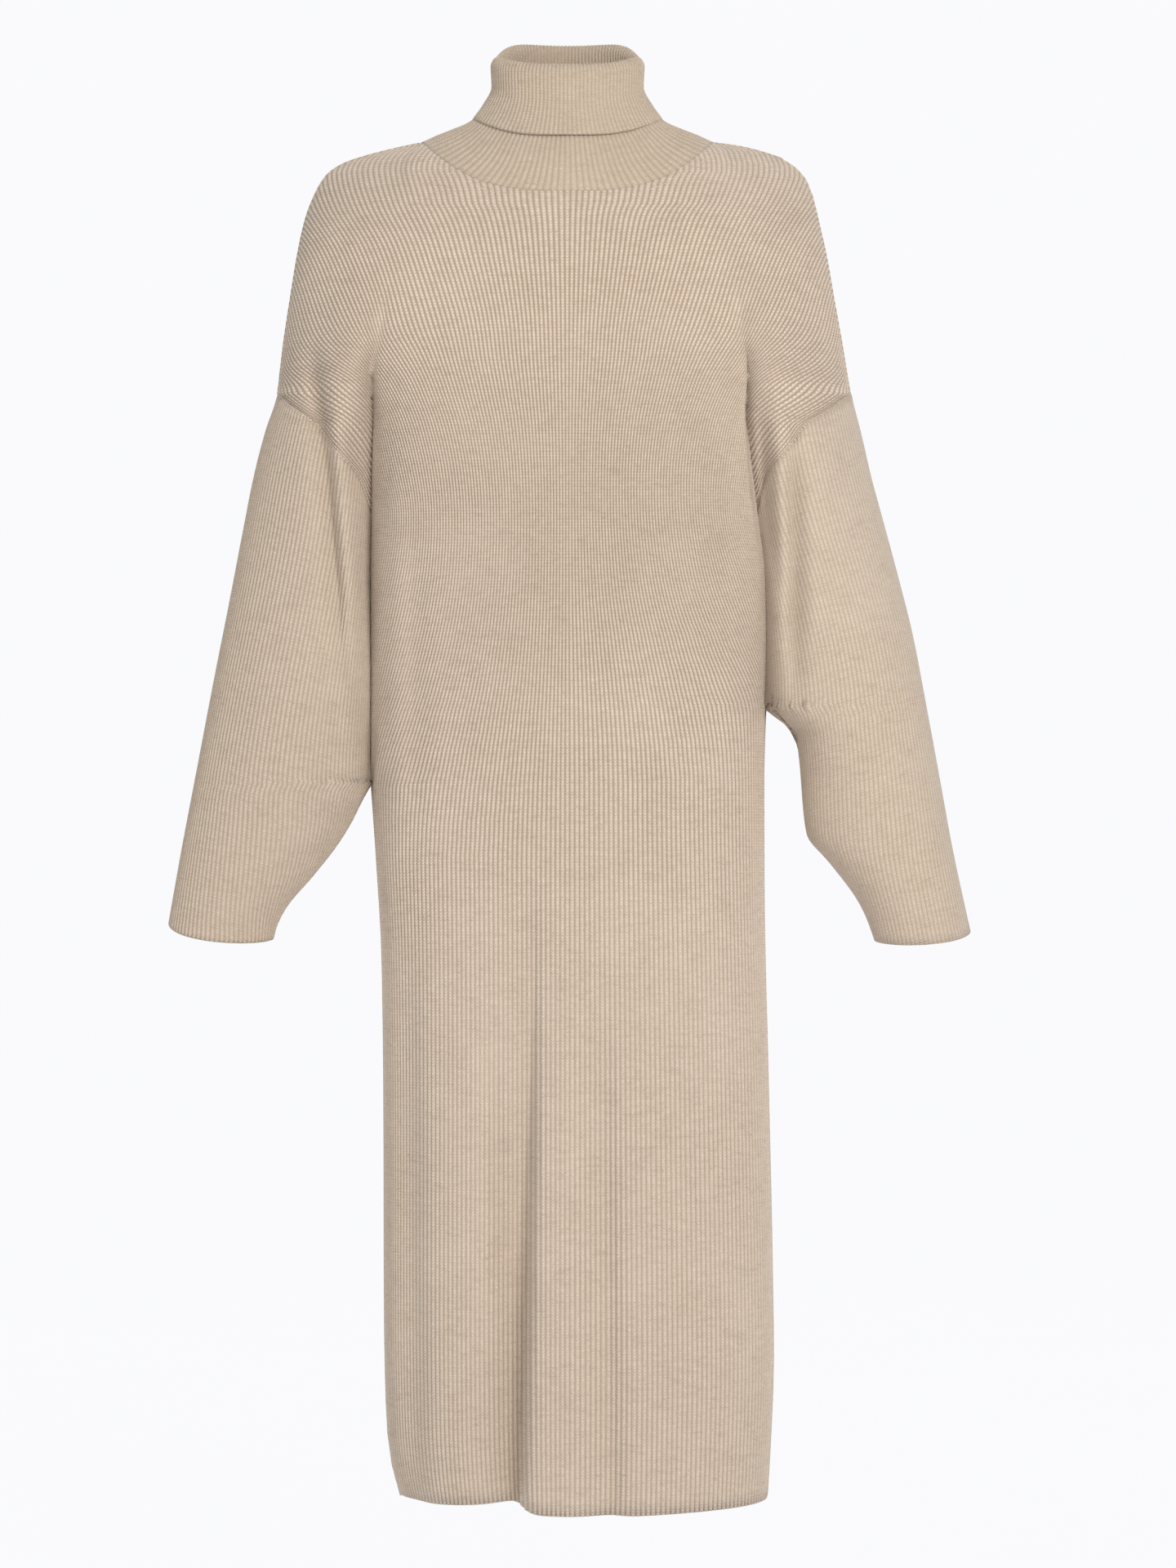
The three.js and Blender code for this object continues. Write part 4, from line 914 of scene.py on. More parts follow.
@dataclass
class Panel:
    """Front or back panel: one T-shaped piece of rib from the neck and shoulders to the hem.

    The band of fashioned stitches lies between ribs and at a fall from the neck seam.
    """

    form: Form
    face: Face
    thickness: float = 2.0
    half_gap: float = 0.15
    rows_upper: int = 84
    rows_lower: int = 46
    edge_ribs: float = 1.2
    band_ribs: tuple[float, ...] = (9, 14, 25, 27.5)
    band_fall: tuple[float, ...] = (1.2, 2.6, 4.6, 6.4)
    band_share: float = 0.8
    flat: tuple[float, float] = (0.62, 1.2)
    flat_area: float = 0.5
    edges: dict[Side, Array] = field(default_factory=dict)
    neck: Array = field(default_factory=lambda: np.zeros((0, 3)))

    def both_sides(self, part: Callable, rib: Array, share: Array) -> Array:
        """Work out a part on the right side for negative ribs and on the left for the others.

        Args:
            part: the form's upper or lower part.
            rib: signed ribs.
            share: places along them.

        Returns:
            Points by row and column.
        """
        right = part(Side.RIGHT, -rib[rib < 0], share, self.face)
        left = part(Side.LEFT, rib[rib >= 0], share, self.face)
        points = np.concatenate([right, left], 1)
        middle = np.abs(points[..., 1]) < 2 * self.half_gap
        points[..., 1] = np.where(middle, self.face.sign * self.half_gap, points[..., 1])
        return points

    def lift(self, rib: Array, points: Array, edge: float) -> Array:
        """Rib heights of a part, fading next to its seams and at the bottom of the fold.

        Args:
            rib: signed ribs.
            points: the part's points.
            edge: rib at its side edge.

        Returns:
            Heights by row and column.
        """
        height = mix(RIB.level, RIB.lift(rib), smooth(0, self.edge_ribs, edge - np.abs(rib)))[None]
        right, left = rib < 0, rib >= 0
        share = np.ones(points.shape[:2])
        share[:, right] = self.form.near_fold(Side.RIGHT, points[:, right])
        share[:, left] = self.form.near_fold(Side.LEFT, points[:, left])
        return height * share

    def build(self) -> bpy.types.Object:
        """Build the panel: an upper grid from arm to arm and a lower one from side to side.

        Returns:
            The panel's object.
        """
        cut, per = self.form.cut, RIB.columns
        reaches = (cut.ribs_panel, cut.ribs_side)
        wide, narrow = (np.arange(-n * per, n * per + 1) / per for n in reaches)
        points = self.both_sides(self.form.upper, wide, np.linspace(0, 1, self.rows_upper + 1))
        fall = length_along(points)
        lift = self.lift(wide, points, cut.ribs_panel)
        lift = mix(RIB.level, lift, smooth(0, RIB.fade, fall) * (1 - self.neck_band(wide, fall)))
        wall = Wall()
        upper = wall.add(points, lift)
        wall.grid(upper, knit_coords(wide, -points[..., 2] / RIB.course))
        share = np.linspace(0, 1, self.rows_lower + 1)
        low_points = self.both_sides(self.form.lower, narrow, share)
        low_lift = self.lift(narrow, low_points, cut.ribs_side)
        middle, half = len(wide) // 2, len(narrow) // 2
        first, last = middle - half, middle + half + 1
        lower = np.concatenate([upper[-1:, first:last], wall.add(low_points[1:], low_lift[1:])])
        wall.grid(lower, knit_coords(narrow, -low_points[..., 2] / RIB.course))
        depth = np.abs(np.concatenate(wall.blocks)[:, 1])
        wall.flat.append(np.nonzero(np.isclose(depth, self.half_gap, 0, 1e-6))[0])
        ring = [
            upper[0, :], upper[1:, -1], upper[-1, last - 1 : -1][::-1], lower[1:, -1],
            lower[-1, :-1][::-1], lower[1:-1, 0][::-1], upper[-1, : first + 1][::-1],
            upper[1:-1, 0][::-1],
        ]
        wall.rings.append(np.concatenate(ring))
        for side, view in ((Side.RIGHT, points), (Side.LEFT, points[:, ::-1])):
            self.edges[side] = np.concatenate([view[:, 0], view[-1, 1 : first + 1]])
        reach = int(cut.ribs_neck * per)
        self.neck = points[0, middle - reach : middle + reach + 1]
        return make_piece(f"{self.face.value}_panel_knit", *wall.build(self.thickness))

    def neck_band(self, rib: Array, fall: Array) -> Array:
        """Share by which ribs give way to the fashioned stitches on the slopes beside the neck."""
        slope = window(self.band_ribs, np.abs(rib))
        return slope[None] * window(self.band_fall, fall) * self.band_share


@dataclass
class Sleeve:
    """Sleeve: one tube of rib, set into the armhole and cut off by the underarm seam.

    Its courses slant, so each is counted from a share of the width and of the height.
    """

    form: Form
    side: Side
    edges: dict[Face, Array]
    thickness: float = 2.0
    rows: int = 96
    seam_reach: float = 9
    seam_fade: float = 5
    slant: tuple[float, float] = (0.23, 0.97)
    flat: tuple[float, float] = (0.42, 0.5)
    flat_area: float = 0.15

    def tops(self, rib: Array) -> Array:
        """Height at which sleeve ribs start on the armhole seam.

        Args:
            rib: ribs from the overarm.

        Returns:
            Heights.
        """
        cut = self.form.cut
        rows = cut.sleeve[self.side].rows
        z = np.linspace(cut.armhole_top, cut.armhole_dive, self.form.fine_steps)
        crossing = (2 - cut.armhole.read("turn", z)) * rows.read("ribs", z)
        dive = (rib - cut.ribs_dive) / (cut.ribs_sleeve - cut.ribs_dive)
        along = mix(cut.armhole_dive, cut.sleeve[self.side].underarm, dive)
        return np.where(rib <= cut.ribs_dive, np.interp(rib, crossing, z), along)

    def half(self, face: Face, rib: Array) -> Array:
        """Points of the front or back half, its first row on the panel's armhole edge.

        Args:
            face: front or back.
            rib: ribs from the overarm.

        Returns:
            Points by row and column.
        """
        edge, cut, top = self.edges[face], self.form.cut, self.tops(rib)
        points = self.form.sleeve(self.side, face, rib, top, np.linspace(0, 1, self.rows + 1))
        fall = top[None] - points[..., 2]
        seam = points_at(edge, -edge[:, 2], -top)
        seam[:, 0] += self.side.value * cut.armhole_gap
        seam[:, 2] -= cut.armhole_gap * (rib < cut.ribs_dive)
        blend = np.exp(-((fall / self.seam_reach) ** 2))[..., None]
        start = self.form.surface(self.side, face, self.start_turn(rib, top), top, True)
        points[0] = seam
        points[1:] += (seam - start)[None] * blend[1:]
        return points

    def start_turn(self, rib: Array, top: Array) -> Array:
        """Place round the arm at which ribs start."""
        ribs = self.form.cut.sleeve[self.side].rows.read("ribs", top)
        return np.maximum(1.0, 2.0 - rib / ribs)

    def build(self) -> bpy.types.Object:
        """Build the tube from its back half, turned round, and its front half.

        Returns:
            The sleeve's object.
        """
        cut, per = self.form.cut, RIB.columns
        rib = np.arange(0, cut.ribs_sleeve * per + 1) / per
        back, front = self.half(Face.BACK, rib), self.half(Face.FRONT, rib)
        front[:, 0, 1] = 0.0
        front[:, -1, 1] = 0.0
        front[-1, rib >= cut.ribs_cuff, 1] = 0.0
        points = np.concatenate([back[:, :0:-1], front], 1)
        around = np.concatenate([-rib[:0:-1], rib])
        plain = [self.form.near_fold(self.side, part) for part in (back, front)]
        plain = np.concatenate([plain[0][:, :0:-1], plain[1]], 1)
        fade = smooth(0, RIB.fade, length_along(points))
        lift = mix(RIB.level, RIB.lift(around)[None], fade) * plain
        fade = smooth(0, self.seam_fade, length_along(points[::-1])[::-1])
        lift = lift * np.where(np.abs(around)[None] > cut.ribs_cuff, fade, 1.0)
        wall = Wall()
        numbers = wall.add(points, lift).copy()
        middle = len(rib) - 1
        numbers[:, 0] = numbers[:, -1]
        edge = int((cut.ribs_sleeve - cut.ribs_cuff) * per)
        numbers[-1, : edge + 1] = numbers[-1, ::-1][: edge + 1]
        slant_x, slant_z = self.slant
        along = (slant_x * np.abs(points[..., 0]) - slant_z * points[..., 2]) / RIB.course
        wall.grid(numbers, knit_coords(around, along))
        folds = [numbers[:, 0], numbers[:, middle], numbers[-1, : edge + 1]]
        wall.flat.append(np.unique(np.concatenate(folds)))
        wall.rings.append(numbers[0, :-1])
        wall.rings.append(numbers[-1, edge:-edge][:-1])
        return make_piece(f"sleeve_{self.side.label}_knit", *wall.build(self.thickness))


@dataclass
class RollCollar:
    """Roll collar: rib from the neck seam up round the neck, over and down again."""

    form: Form
    ribs: int = 108
    thickness: float = 1.7
    rib_height: float = 1.0
    rows: int = 64
    ring_steps: int = 1440
    rib_origin: float = 20
    steepness: float = 3
    back_steepness: float = 4.5
    steep_from: tuple[float, float] = (2.5, 5.5)
    seam_fade: float = 1.2
    edge_fade: tuple[float, float] = (0.2, 0.4)
    flat: tuple[float, float] = (0.4, 0.24)
    stations: Table = Table(
        "k side front back z_side z_front z_back power",
        [
            (0, 125, 76.0, 62.0, 1.6, -47.5, 9.5, 2.2), (1, 112, 73.5, 59.0, 6.5, -38, 16, 2.1),
            (2, 98, 69.5, 55.5, 12, -25, 24, 2), (3, 85, 62.5, 52.0, 17.5, -9, 33, 2),
            (4, 70, 53.0, 49.0, 30, 10, 46, 2), (5, 59, 47.0, 46.5, 50, 33, 66, 2),
            (6, 57.5, 45.5, 46.0, 67, 54, 84, 2), (7, 60.8, 48.8, 49.2, 73.5, 62, 91, 2),
            (8, 64.3, 52.5, 52.5, 67, 54, 84, 2), (9, 63.5, 52.5, 52.0, 50, 34, 67, 2),
            (10, 71, 56.5, 54.0, 34, 15, 54, 2), (11, 80.5, 61.5, 58.0, 21, 2, 45, 2),
        ],
    )

    def path(self, at: Array, share: Array) -> Array:
        """Middle of the cloth: rounded rings walked by length, their height eased to the sides.

        Args:
            at: stations, one for each row.
            share: shares of the way round from the centre front, one for each column.

        Returns:
            Points by row and column.
        """
        size = {n: self.stations.read(n, at)[:, None] for n in self.stations.names[1:]}
        fine = np.linspace(0, 2 * math.pi, self.ring_steps + 1)
        power = size["power"]

        def ring(angle: Array) -> tuple[Array, Array]:
            """Across and ahead on each row's ring.

            Args:
                angle: angles by row and column.

            Returns:
                Places across, and places ahead.
            """
            sine, cosine = np.sin(angle), np.cos(angle)
            deep = np.where(cosine > 0, size["front"], size["back"])
            ahead = np.maximum(0.0, 1 - np.abs(sine) ** power) ** (1 / power) * np.sign(cosine)
            return size["side"] * sine, -deep * ahead

        x, y = ring(np.broadcast_to(fine[None], (len(at), len(fine))))
        length = so_far(np.hypot(np.diff(x, axis=1), np.diff(y, axis=1)), 1)
        angle = np.stack([np.interp(share * row[-1], row, fine) for row in length])
        x, y = ring(angle)
        sine, cosine = np.sin(angle), np.cos(angle)
        level = np.where(cosine > 0, size["z_front"], size["z_back"])
        more = self.back_steepness * smooth(*self.steep_from, at)[:, None]
        steep = self.steepness + more * (cosine < 0)
        z = mix(size["z_side"], level, 1 - np.abs(sine) ** steep)
        return np.stack([x, y, z], -1)

    def build(self) -> bpy.types.Object:
        """Build both faces of the cloth along the path and close them into one ring.

        Returns:
            The collar's object.
        """
        last = self.stations.values[-1, 0]
        at = np.linspace(0, last, self.rows + 1)
        columns = self.ribs * RIB.columns
        share = np.arange(columns + 1) / columns
        middle = self.path(at, share)
        up = np.gradient(middle, axis=0)
        round_ = np.stack([np.gradient(middle[..., i], axis=1) for i in range(3)], -1)
        round_[:, 0] = round_[:, -1] = middle[:, 1] - middle[:, -2]
        normal = unit(np.cross(up, round_))
        normal = normal if (normal[1] * middle[1]).sum() > 0 else -normal
        ribs = share * self.ribs
        width, share_lost = self.edge_fade
        fade = smooth(0, self.seam_fade, at) * (1 - share_lost * smooth(last - width, last, at))
        points = []
        for sign in (1, -1):
            lift = (RIB.crest(ribs, sign) * self.rib_height)[None] * fade[:, None]
            layer = middle + sign * normal * (self.thickness / 2 + lift)[..., None]
            points.append(layer[::sign])
        points = np.concatenate(points)
        numbers = np.arange(points[..., 0].size).reshape(points.shape[:2])
        numbers[:, -1] = numbers[:, 0]
        numbers = np.concatenate([numbers, numbers[:1]])
        counts = length_along(middle) / RIB.course
        counts = np.concatenate([counts, counts[::-1], counts[:1]])
        shift = np.repeat([0.0, 0.5, 0.0], [self.rows + 1, self.rows + 1, 1])
        coords = np.stack([ribs[None] + self.rib_origin + shift[:, None], counts], -1)
        faces, uv = Wall.cells(numbers, coords)
        points = points.reshape(-1, 3)
        if Wall.volume(points, faces) < 0:
            faces, uv = faces[:, ::-1], uv[:, ::-1]
        return make_piece("roll_collar_knit", *Wall.compact(points, faces), uv)


class Socket:
    """Output of a shader node that takes part in sums, each of which adds its Math node."""

    def __init__(self, maker: Shader, link: bpy.types.NodeSocket) -> None:
        """Keep the node tree's maker and the socket."""
        self.maker = maker
        self.link = link

    def math(self, operation: str, *values: Socket | float) -> Socket:
        """Add a Math node on this value and others."""
        return self.maker.math(operation, self, *values)

    def __add__(self, other: Socket | float) -> Socket:
        """Sum."""
        return self.math("ADD", other)

    __radd__ = __add__

    def __mul__(self, other: Socket | float) -> Socket:
        """Product."""
        return self.math("MULTIPLY", other)

    __rmul__ = __mul__

    def __sub__(self, other: Socket | float) -> Socket:
        """Difference."""
        return self.math("SUBTRACT", other)

    def __rsub__(self, other: Socket | float) -> Socket:
        """Difference from a number."""
        return self.maker.math("SUBTRACT", other, self)

    def __pow__(self, other: float) -> Socket:
        """Power."""
        return self.math("POWER", other)


class Shader:
    """Maker of one material's nodes."""

    def __init__(self, name: str) -> None:
        """Start an empty node tree.

        Args:
            name: the material's name.
        """
        self.material = bpy.data.materials.new(name)
        self.material.use_nodes = True
        self.tree = self.material.node_tree
        self.tree.nodes.clear()

    def node(self, kind: str, settings: dict | None = None, **inputs: object) -> bpy.types.Node:
        """Add a node: its settings are set first, and then the values or links of its sockets.

        Args:
            kind: the node's type.
            settings: its own settings.
            inputs: socket names, with _ for a space, or s and a number for a socket by place.

        Returns:
            The node.
        """
        node = self.tree.nodes.new(kind)
        for key, value in (settings or {}).items():
            setattr(node, key, value)
        for key, value in inputs.items():
            by_place = key[0] == "s" and key[1:].isdigit()
            socket = node.inputs[int(key[1:]) if by_place else key.replace("_", " ")]
            if isinstance(value, Socket):
                self.tree.links.new(value.link, socket)
            else:
                socket.default_value = value
        return node

    def take(
        self, output: int | str, kind: str, settings: dict | None = None, **inputs: object
    ) -> Socket:
        """Add a node and take one of its outputs."""
        return Socket(self, self.node(kind, settings, **inputs).outputs[output])

    def math(self, operation: str, *values: Socket | float) -> Socket:
        """Add a Math node."""
        inputs = {f"s{i}": value for i, value in enumerate(values)}
        return self.take(0, "ShaderNodeMath", {"operation": operation}, **inputs)

    def blend(self, factor: Socket, first: tuple | Socket, second: tuple | Socket) -> Socket:
        """Blend two colours."""
        return self.take(2, "ShaderNodeMix", {"data_type": "RGBA"}, s0=factor, s6=first, s7=second)

    def vector(self, x: Socket, y: Socket, z: float) -> Socket:
        """Put a vector together."""
        return self.take(0, "ShaderNodeCombineXYZ", X=x, Y=y, Z=z)

    def split(self, vector: Socket) -> tuple[Socket, ...]:
        """Take a vector apart."""
        node = self.node("ShaderNodeSeparateXYZ", s0=vector)
        return tuple(Socket(self, output) for output in node.outputs)

    def noise(self, vector: Socket, scale: float, detail: float) -> Socket:
        """Soft noise of 0 to 1.

        Args:
            vector: where it is read.
            scale: how fine it is.
            detail: its octaves.

        Returns:
            The noise.
        """
        return self.take(
            0, "ShaderNodeTexNoise", Vector=vector, Scale=scale, Detail=detail, Roughness=0.6
        )

    def rise(self, value: Socket, low: float, high: float) -> Socket:
        """Rise from 0 at the low value to 1 at the high one.

        Args:
            value: what is compared.
            low: the low value.
            high: the high one.

        Returns:
            The share.
        """
        return self.take(
            0, "ShaderNodeMapRange", {"clamp": True}, Value=value, From_Min=low, From_Max=high
        )

    def finish(self, surface: Socket) -> bpy.types.Material:
        """Make a shader the material's surface."""
        self.node("ShaderNodeOutputMaterial", Surface=surface)
        return self.material


def linear(red: float, green: float, blue: float) -> tuple[float, float, float, float]:
    """Turn a colour of 0 to 255 on screen into the shader's linear one."""
    parts = [v / 255 for v in (red, green, blue)]
    return (*(p / 12.92 if p <= 0.04045 else ((p + 0.055) / 1.055) ** 2.4 for p in parts), 1.0)


@dataclass(frozen=True)
class Yarn:
    """Heathered oatmeal yarn, knitted in rib: its colours, with painted light on the crests and
    painted shade in the gaps, and how deep its stitches and fibres are.

    The painted light and shade of the stitches is stronger on the chest, whose heights are given in
    metres as the two rises about it.
    The pivot is the light that contrast leaves alone. Scales are those of the noise in metres,
    and shares are how much of an odd fibre's colour shows at most.
    """

    name: str
    # crest colour takes painted light on the rib crests; the gap colour is painted shade between
    # the ribs
    crest: tuple[float, float, float]
    gap_shade: tuple[float, float, float]
    fleck: tuple[float, float, float]
    pale: tuple[float, float, float]
    chest: float = 0.1
    chest_below: tuple[float, float] = (-0.75, -0.25)
    chest_above: tuple[float, float] = (-0.13, -0.02)
    mean_light: float = 0.61
    pivot: float = 0.58
    contrast: float = 0.85
    crest_power: float = 0.6
    leg_slope: float = 1.5
    leg_share: float = 0.75
    split_width: float = 16.0
    stitch_light: float = 0.64
    fleck_size: tuple[float, float] = (2.2, 1.3)
    streak_size: tuple[float, float] = (0.34, 0.8)
    streak_start: float = 3.7
    fine_scales: tuple[float, float] = (2600.0, 55.0)
    broad_scale: float = 9.0
    dark_from: float = 0.54
    pale_from: float = 0.56
    fleck_share: float = 0.46
    streak_share: float = 0.2
    patch_share: float = 0.14
    broad_share: float = 0.1
    bump: float = 0.6
    stitch_depth: float = 0.95
    fibre_depth: float = 0.22
    roughness: float = 0.92

    def dress(self) -> bpy.types.Material:
        """Make the yarn's material.

        On the knit's own coordinates, u counts ribs and v courses. Each crest is a column of
        stitches whose two legs meet in a V, in painted light, and each gap is painted in shade.
        Flecks of darker and paler fibre lie along the legs, the paler ones only on the lit crests,
        and larger soft patches vary the whole.

        Returns:
            The material.
        """
        shader = Shader(self.name)
        u, v, _ = shader.split(shader.take(0, "ShaderNodeUVMap", {"uv_map": "knit"}))
        u, v = u * (1 / UV_UNIT), v * (1 / UV_UNIT)
        crest = (u * (2 * math.pi)).math("COSINE") * 0.5 + 0.5
        off = ((u + 0.5).math("FRACT") - 0.5).math("ABSOLUTE")
        along = v + off * self.leg_slope
        leg = (along * (2 * math.pi)).math("COSINE") * 0.5 + 0.5
        split = (off * self.split_width).math("MINIMUM", 1.0)
        stitch = leg * self.leg_share + split * (1 - self.leg_share)
        place = shader.take("Object", "ShaderNodeTexCoord")
        across, down = self.fleck_size
        fleck = shader.noise(shader.vector(u * across, along * down, 0.0), 1.0, 3.0)
        across, down = self.streak_size
        streak = shader.noise(shader.vector(u * across, v * down, self.streak_start), 1.0, 2.0)
        fibre, patch = (shader.noise(place, scale, 3.0) for scale in self.fine_scales)
        broad = shader.noise(place, self.broad_scale, 2.0)
        # painted light and shade: lit crests and stitch legs, shaded gaps and dips between the legs
        light = (crest**self.crest_power) * ((1 - self.stitch_light) + stitch * self.stitch_light)
        height = shader.split(place)[2]
        chest = shader.rise(height, *self.chest_below) - shader.rise(height, *self.chest_above)
        contrast = self.contrast + chest * self.chest
        light = self.mean_light + (light - self.pivot) * contrast
        # blend from the painted shade of the gaps to the painted light of the crests
        tone = shader.blend(light, linear(*self.gap_shade), linear(*self.crest))
        dark = self.specks(shader, fleck, streak, self.dark_from)
        dark = dark + shader.rise(patch, 0.5, 0.8) * self.patch_share
        tone = shader.blend(dark, tone, linear(*self.fleck))
        # paler fibres only on the crests, where painted light falls, kept out of the painted shade
        # of the gaps; the broad pale patches are the yarn's own tone
        pale_and_lit = self.specks(shader, 1 - fleck, 1 - streak, self.pale_from) * crest
        pale_and_lit = pale_and_lit + shader.rise(broad, 0.45, 0.8) * self.broad_share
        tone = shader.blend(pale_and_lit, tone, linear(*self.pale))
        relief = stitch * crest * self.stitch_depth + (fibre - 0.5) * self.fibre_depth
        normal = shader.take(
            0, "ShaderNodeBump", Strength=self.bump, Distance=MM, Height=relief
        )
        cloth = shader.node(
            "ShaderNodeBsdfPrincipled", Base_Color=tone, Roughness=self.roughness,
            Sheen_Weight=0.25, Sheen_Roughness=0.6, Specular_IOR_Level=0.15, Normal=normal,
        )
        return shader.finish(Socket(shader, cloth.outputs[0]))

    def specks(self, shader: Shader, fleck: Socket, streak: Socket, start: float) -> Socket:
        """Share of odd fibres: flecks from a start on, and streaks along the courses."""
        flecks = shader.rise(fleck, start, start + 0.2) * self.fleck_share
        return flecks + shader.rise(streak, 0.52, 0.74) * self.streak_share


class YarnUse(Enum):
    """The yarn as each part of the garment shows it: the sleeve and collar copies are darker,
    painted shade, and the linking copy is paler, painted light against the shade in the seams.
    """

    BODY = Yarn(
        "oatmeal_rib_body", (222, 205, 187), (166, 147, 127), (146, 127, 107), (242, 227, 210), 1.15
    )
    # darker copy of the yarn: painted shade on the sleeves
    SLEEVE = Yarn(
        "oatmeal_rib_sleeve_shaded", (212, 195, 176), (168, 150, 130), (148, 129, 108), (231, 216, 198)
    )
    # darker copy of the yarn: painted shade on the collar roll
    COLLAR = Yarn(
        "oatmeal_rib_collar_shaded", (203, 186, 166), (165, 147, 126), (146, 128, 106), (227, 211, 192)
    )
    # paler copy of the yarn: painted light that lifts the shade along the seams
    SEWING = Yarn(
        "oatmeal_linking_lit", (220, 203, 184), (190, 171, 150), (158, 139, 118), (236, 221, 203)
    )


@dataclass
class Stitching:
    """Row of linking stitches along a seam: a small plump stitch for each one.

    Places are shares of a stitch's length, and widths are shares of its radius.
    """

    name: str
    line: Array
    closed: bool = False
    length: float = 3.1
    radius: float = 0.5
    rise: float = 0.55
    spacing: float = 2.7
    sides: int = 6
    probe: float = 0.6
    outward_depth: float = 1.6
    slant: tuple[float, float] = (0.93, 0.36)
    ring_places: tuple[float, ...] = (-0.36, 0.0, 0.36)
    ring_widths: tuple[float, ...] = (0.72, 1.0, 0.72)
    tip_places: tuple[float, ...] = (-0.5, 0.5)
    uv_step: float = 0.37

    def build(self) -> bpy.types.Object:
        """Build the row: spindles of three rings, laid a little across the seam one after another.

        Returns:
            The row's object.
        """
        line = np.concatenate([self.line, self.line[:1]]) if self.closed else self.line
        length = length_along(line)
        count = int(length[-1] / self.spacing)
        at = (np.arange(count) + 0.5) * length[-1] / count
        steps = (0, self.probe, -self.probe)
        centre, ahead, behind = (points_at(line, length, at + step) for step in steps)
        along = unit(ahead - behind)
        out = np.stack([centre[:, 0], centre[:, 1] * self.outward_depth, 0 * at], -1)
        out = unit(out - along * (out * along).sum(1, keepdims=True))
        centre = centre + out * self.rise
        ahead, aside = self.slant
        along = along * ahead + np.cross(along, out) * aside
        rings = self.rings(centre, along, np.cross(along, out), out)
        points = np.concatenate([rings, self.spread(centre, along, self.tip_places)], 1)
        one = self.triangles()
        every = (one[None] + (np.arange(count) * points.shape[1])[:, None, None]).reshape(-1, 3)
        points = points.reshape(-1, 3)
        if Wall.volume(points, every) < 0:
            every = every[:, ::-1]
        uv = np.zeros((len(every), 3, 2))
        uv[..., 1] = (np.arange(len(every)) // len(one))[:, None] * self.uv_step
        return make_piece(self.name, points, every, uv)

    def rings(self, centre: Array, along: Array, across: Array, out: Array) -> Array:
        """Three rings round each stitch, the middle one the widest.

        Args:
            centre: the stitches' centres.
            along: their directions.
            across: directions across them.
            out: directions out of the cloth.

        Returns:
            Points by stitch.
        """
        angle = np.arange(self.sides) * 2 * math.pi / self.sides
        cosine, sine = (part[None, None, :, None] for part in (np.cos(angle), np.sin(angle)))
        circle = across[:, None, None] * cosine + out[:, None, None] * sine
        middle = self.spread(centre, along, self.ring_places)[:, :, None]
        wide = np.array(self.ring_widths) * self.radius
        return (middle + circle * wide[None, :, None, None]).reshape(len(centre), -1, 3)

    def spread(self, centre: Array, along: Array, places: tuple[float, ...]) -> Array:
        """Points along each stitch at shares of its length from its centre."""
        return centre[:, None] + along[:, None] * (np.array(places) * self.length)[None, :, None]

    def triangles(self) -> Array:
        """Triangles of one stitch: two fans at its tips and two bands between its rings.

        Returns:
            The triangles, numbered as one stitch's points are.
        """
        n = self.sides
        i = np.arange(n)
        j = (i + 1) % n
        corners = [(3 * n, j, i), (3 * n + 1, 2 * n + i, 2 * n + j)]
        for k in (0, n):
            corners += [(k + i, k + j, k + n + j), (k + i, k + n + j, k + n + i)]
        return np.concatenate([np.stack(np.broadcast_arrays(*three), 1) for three in corners])


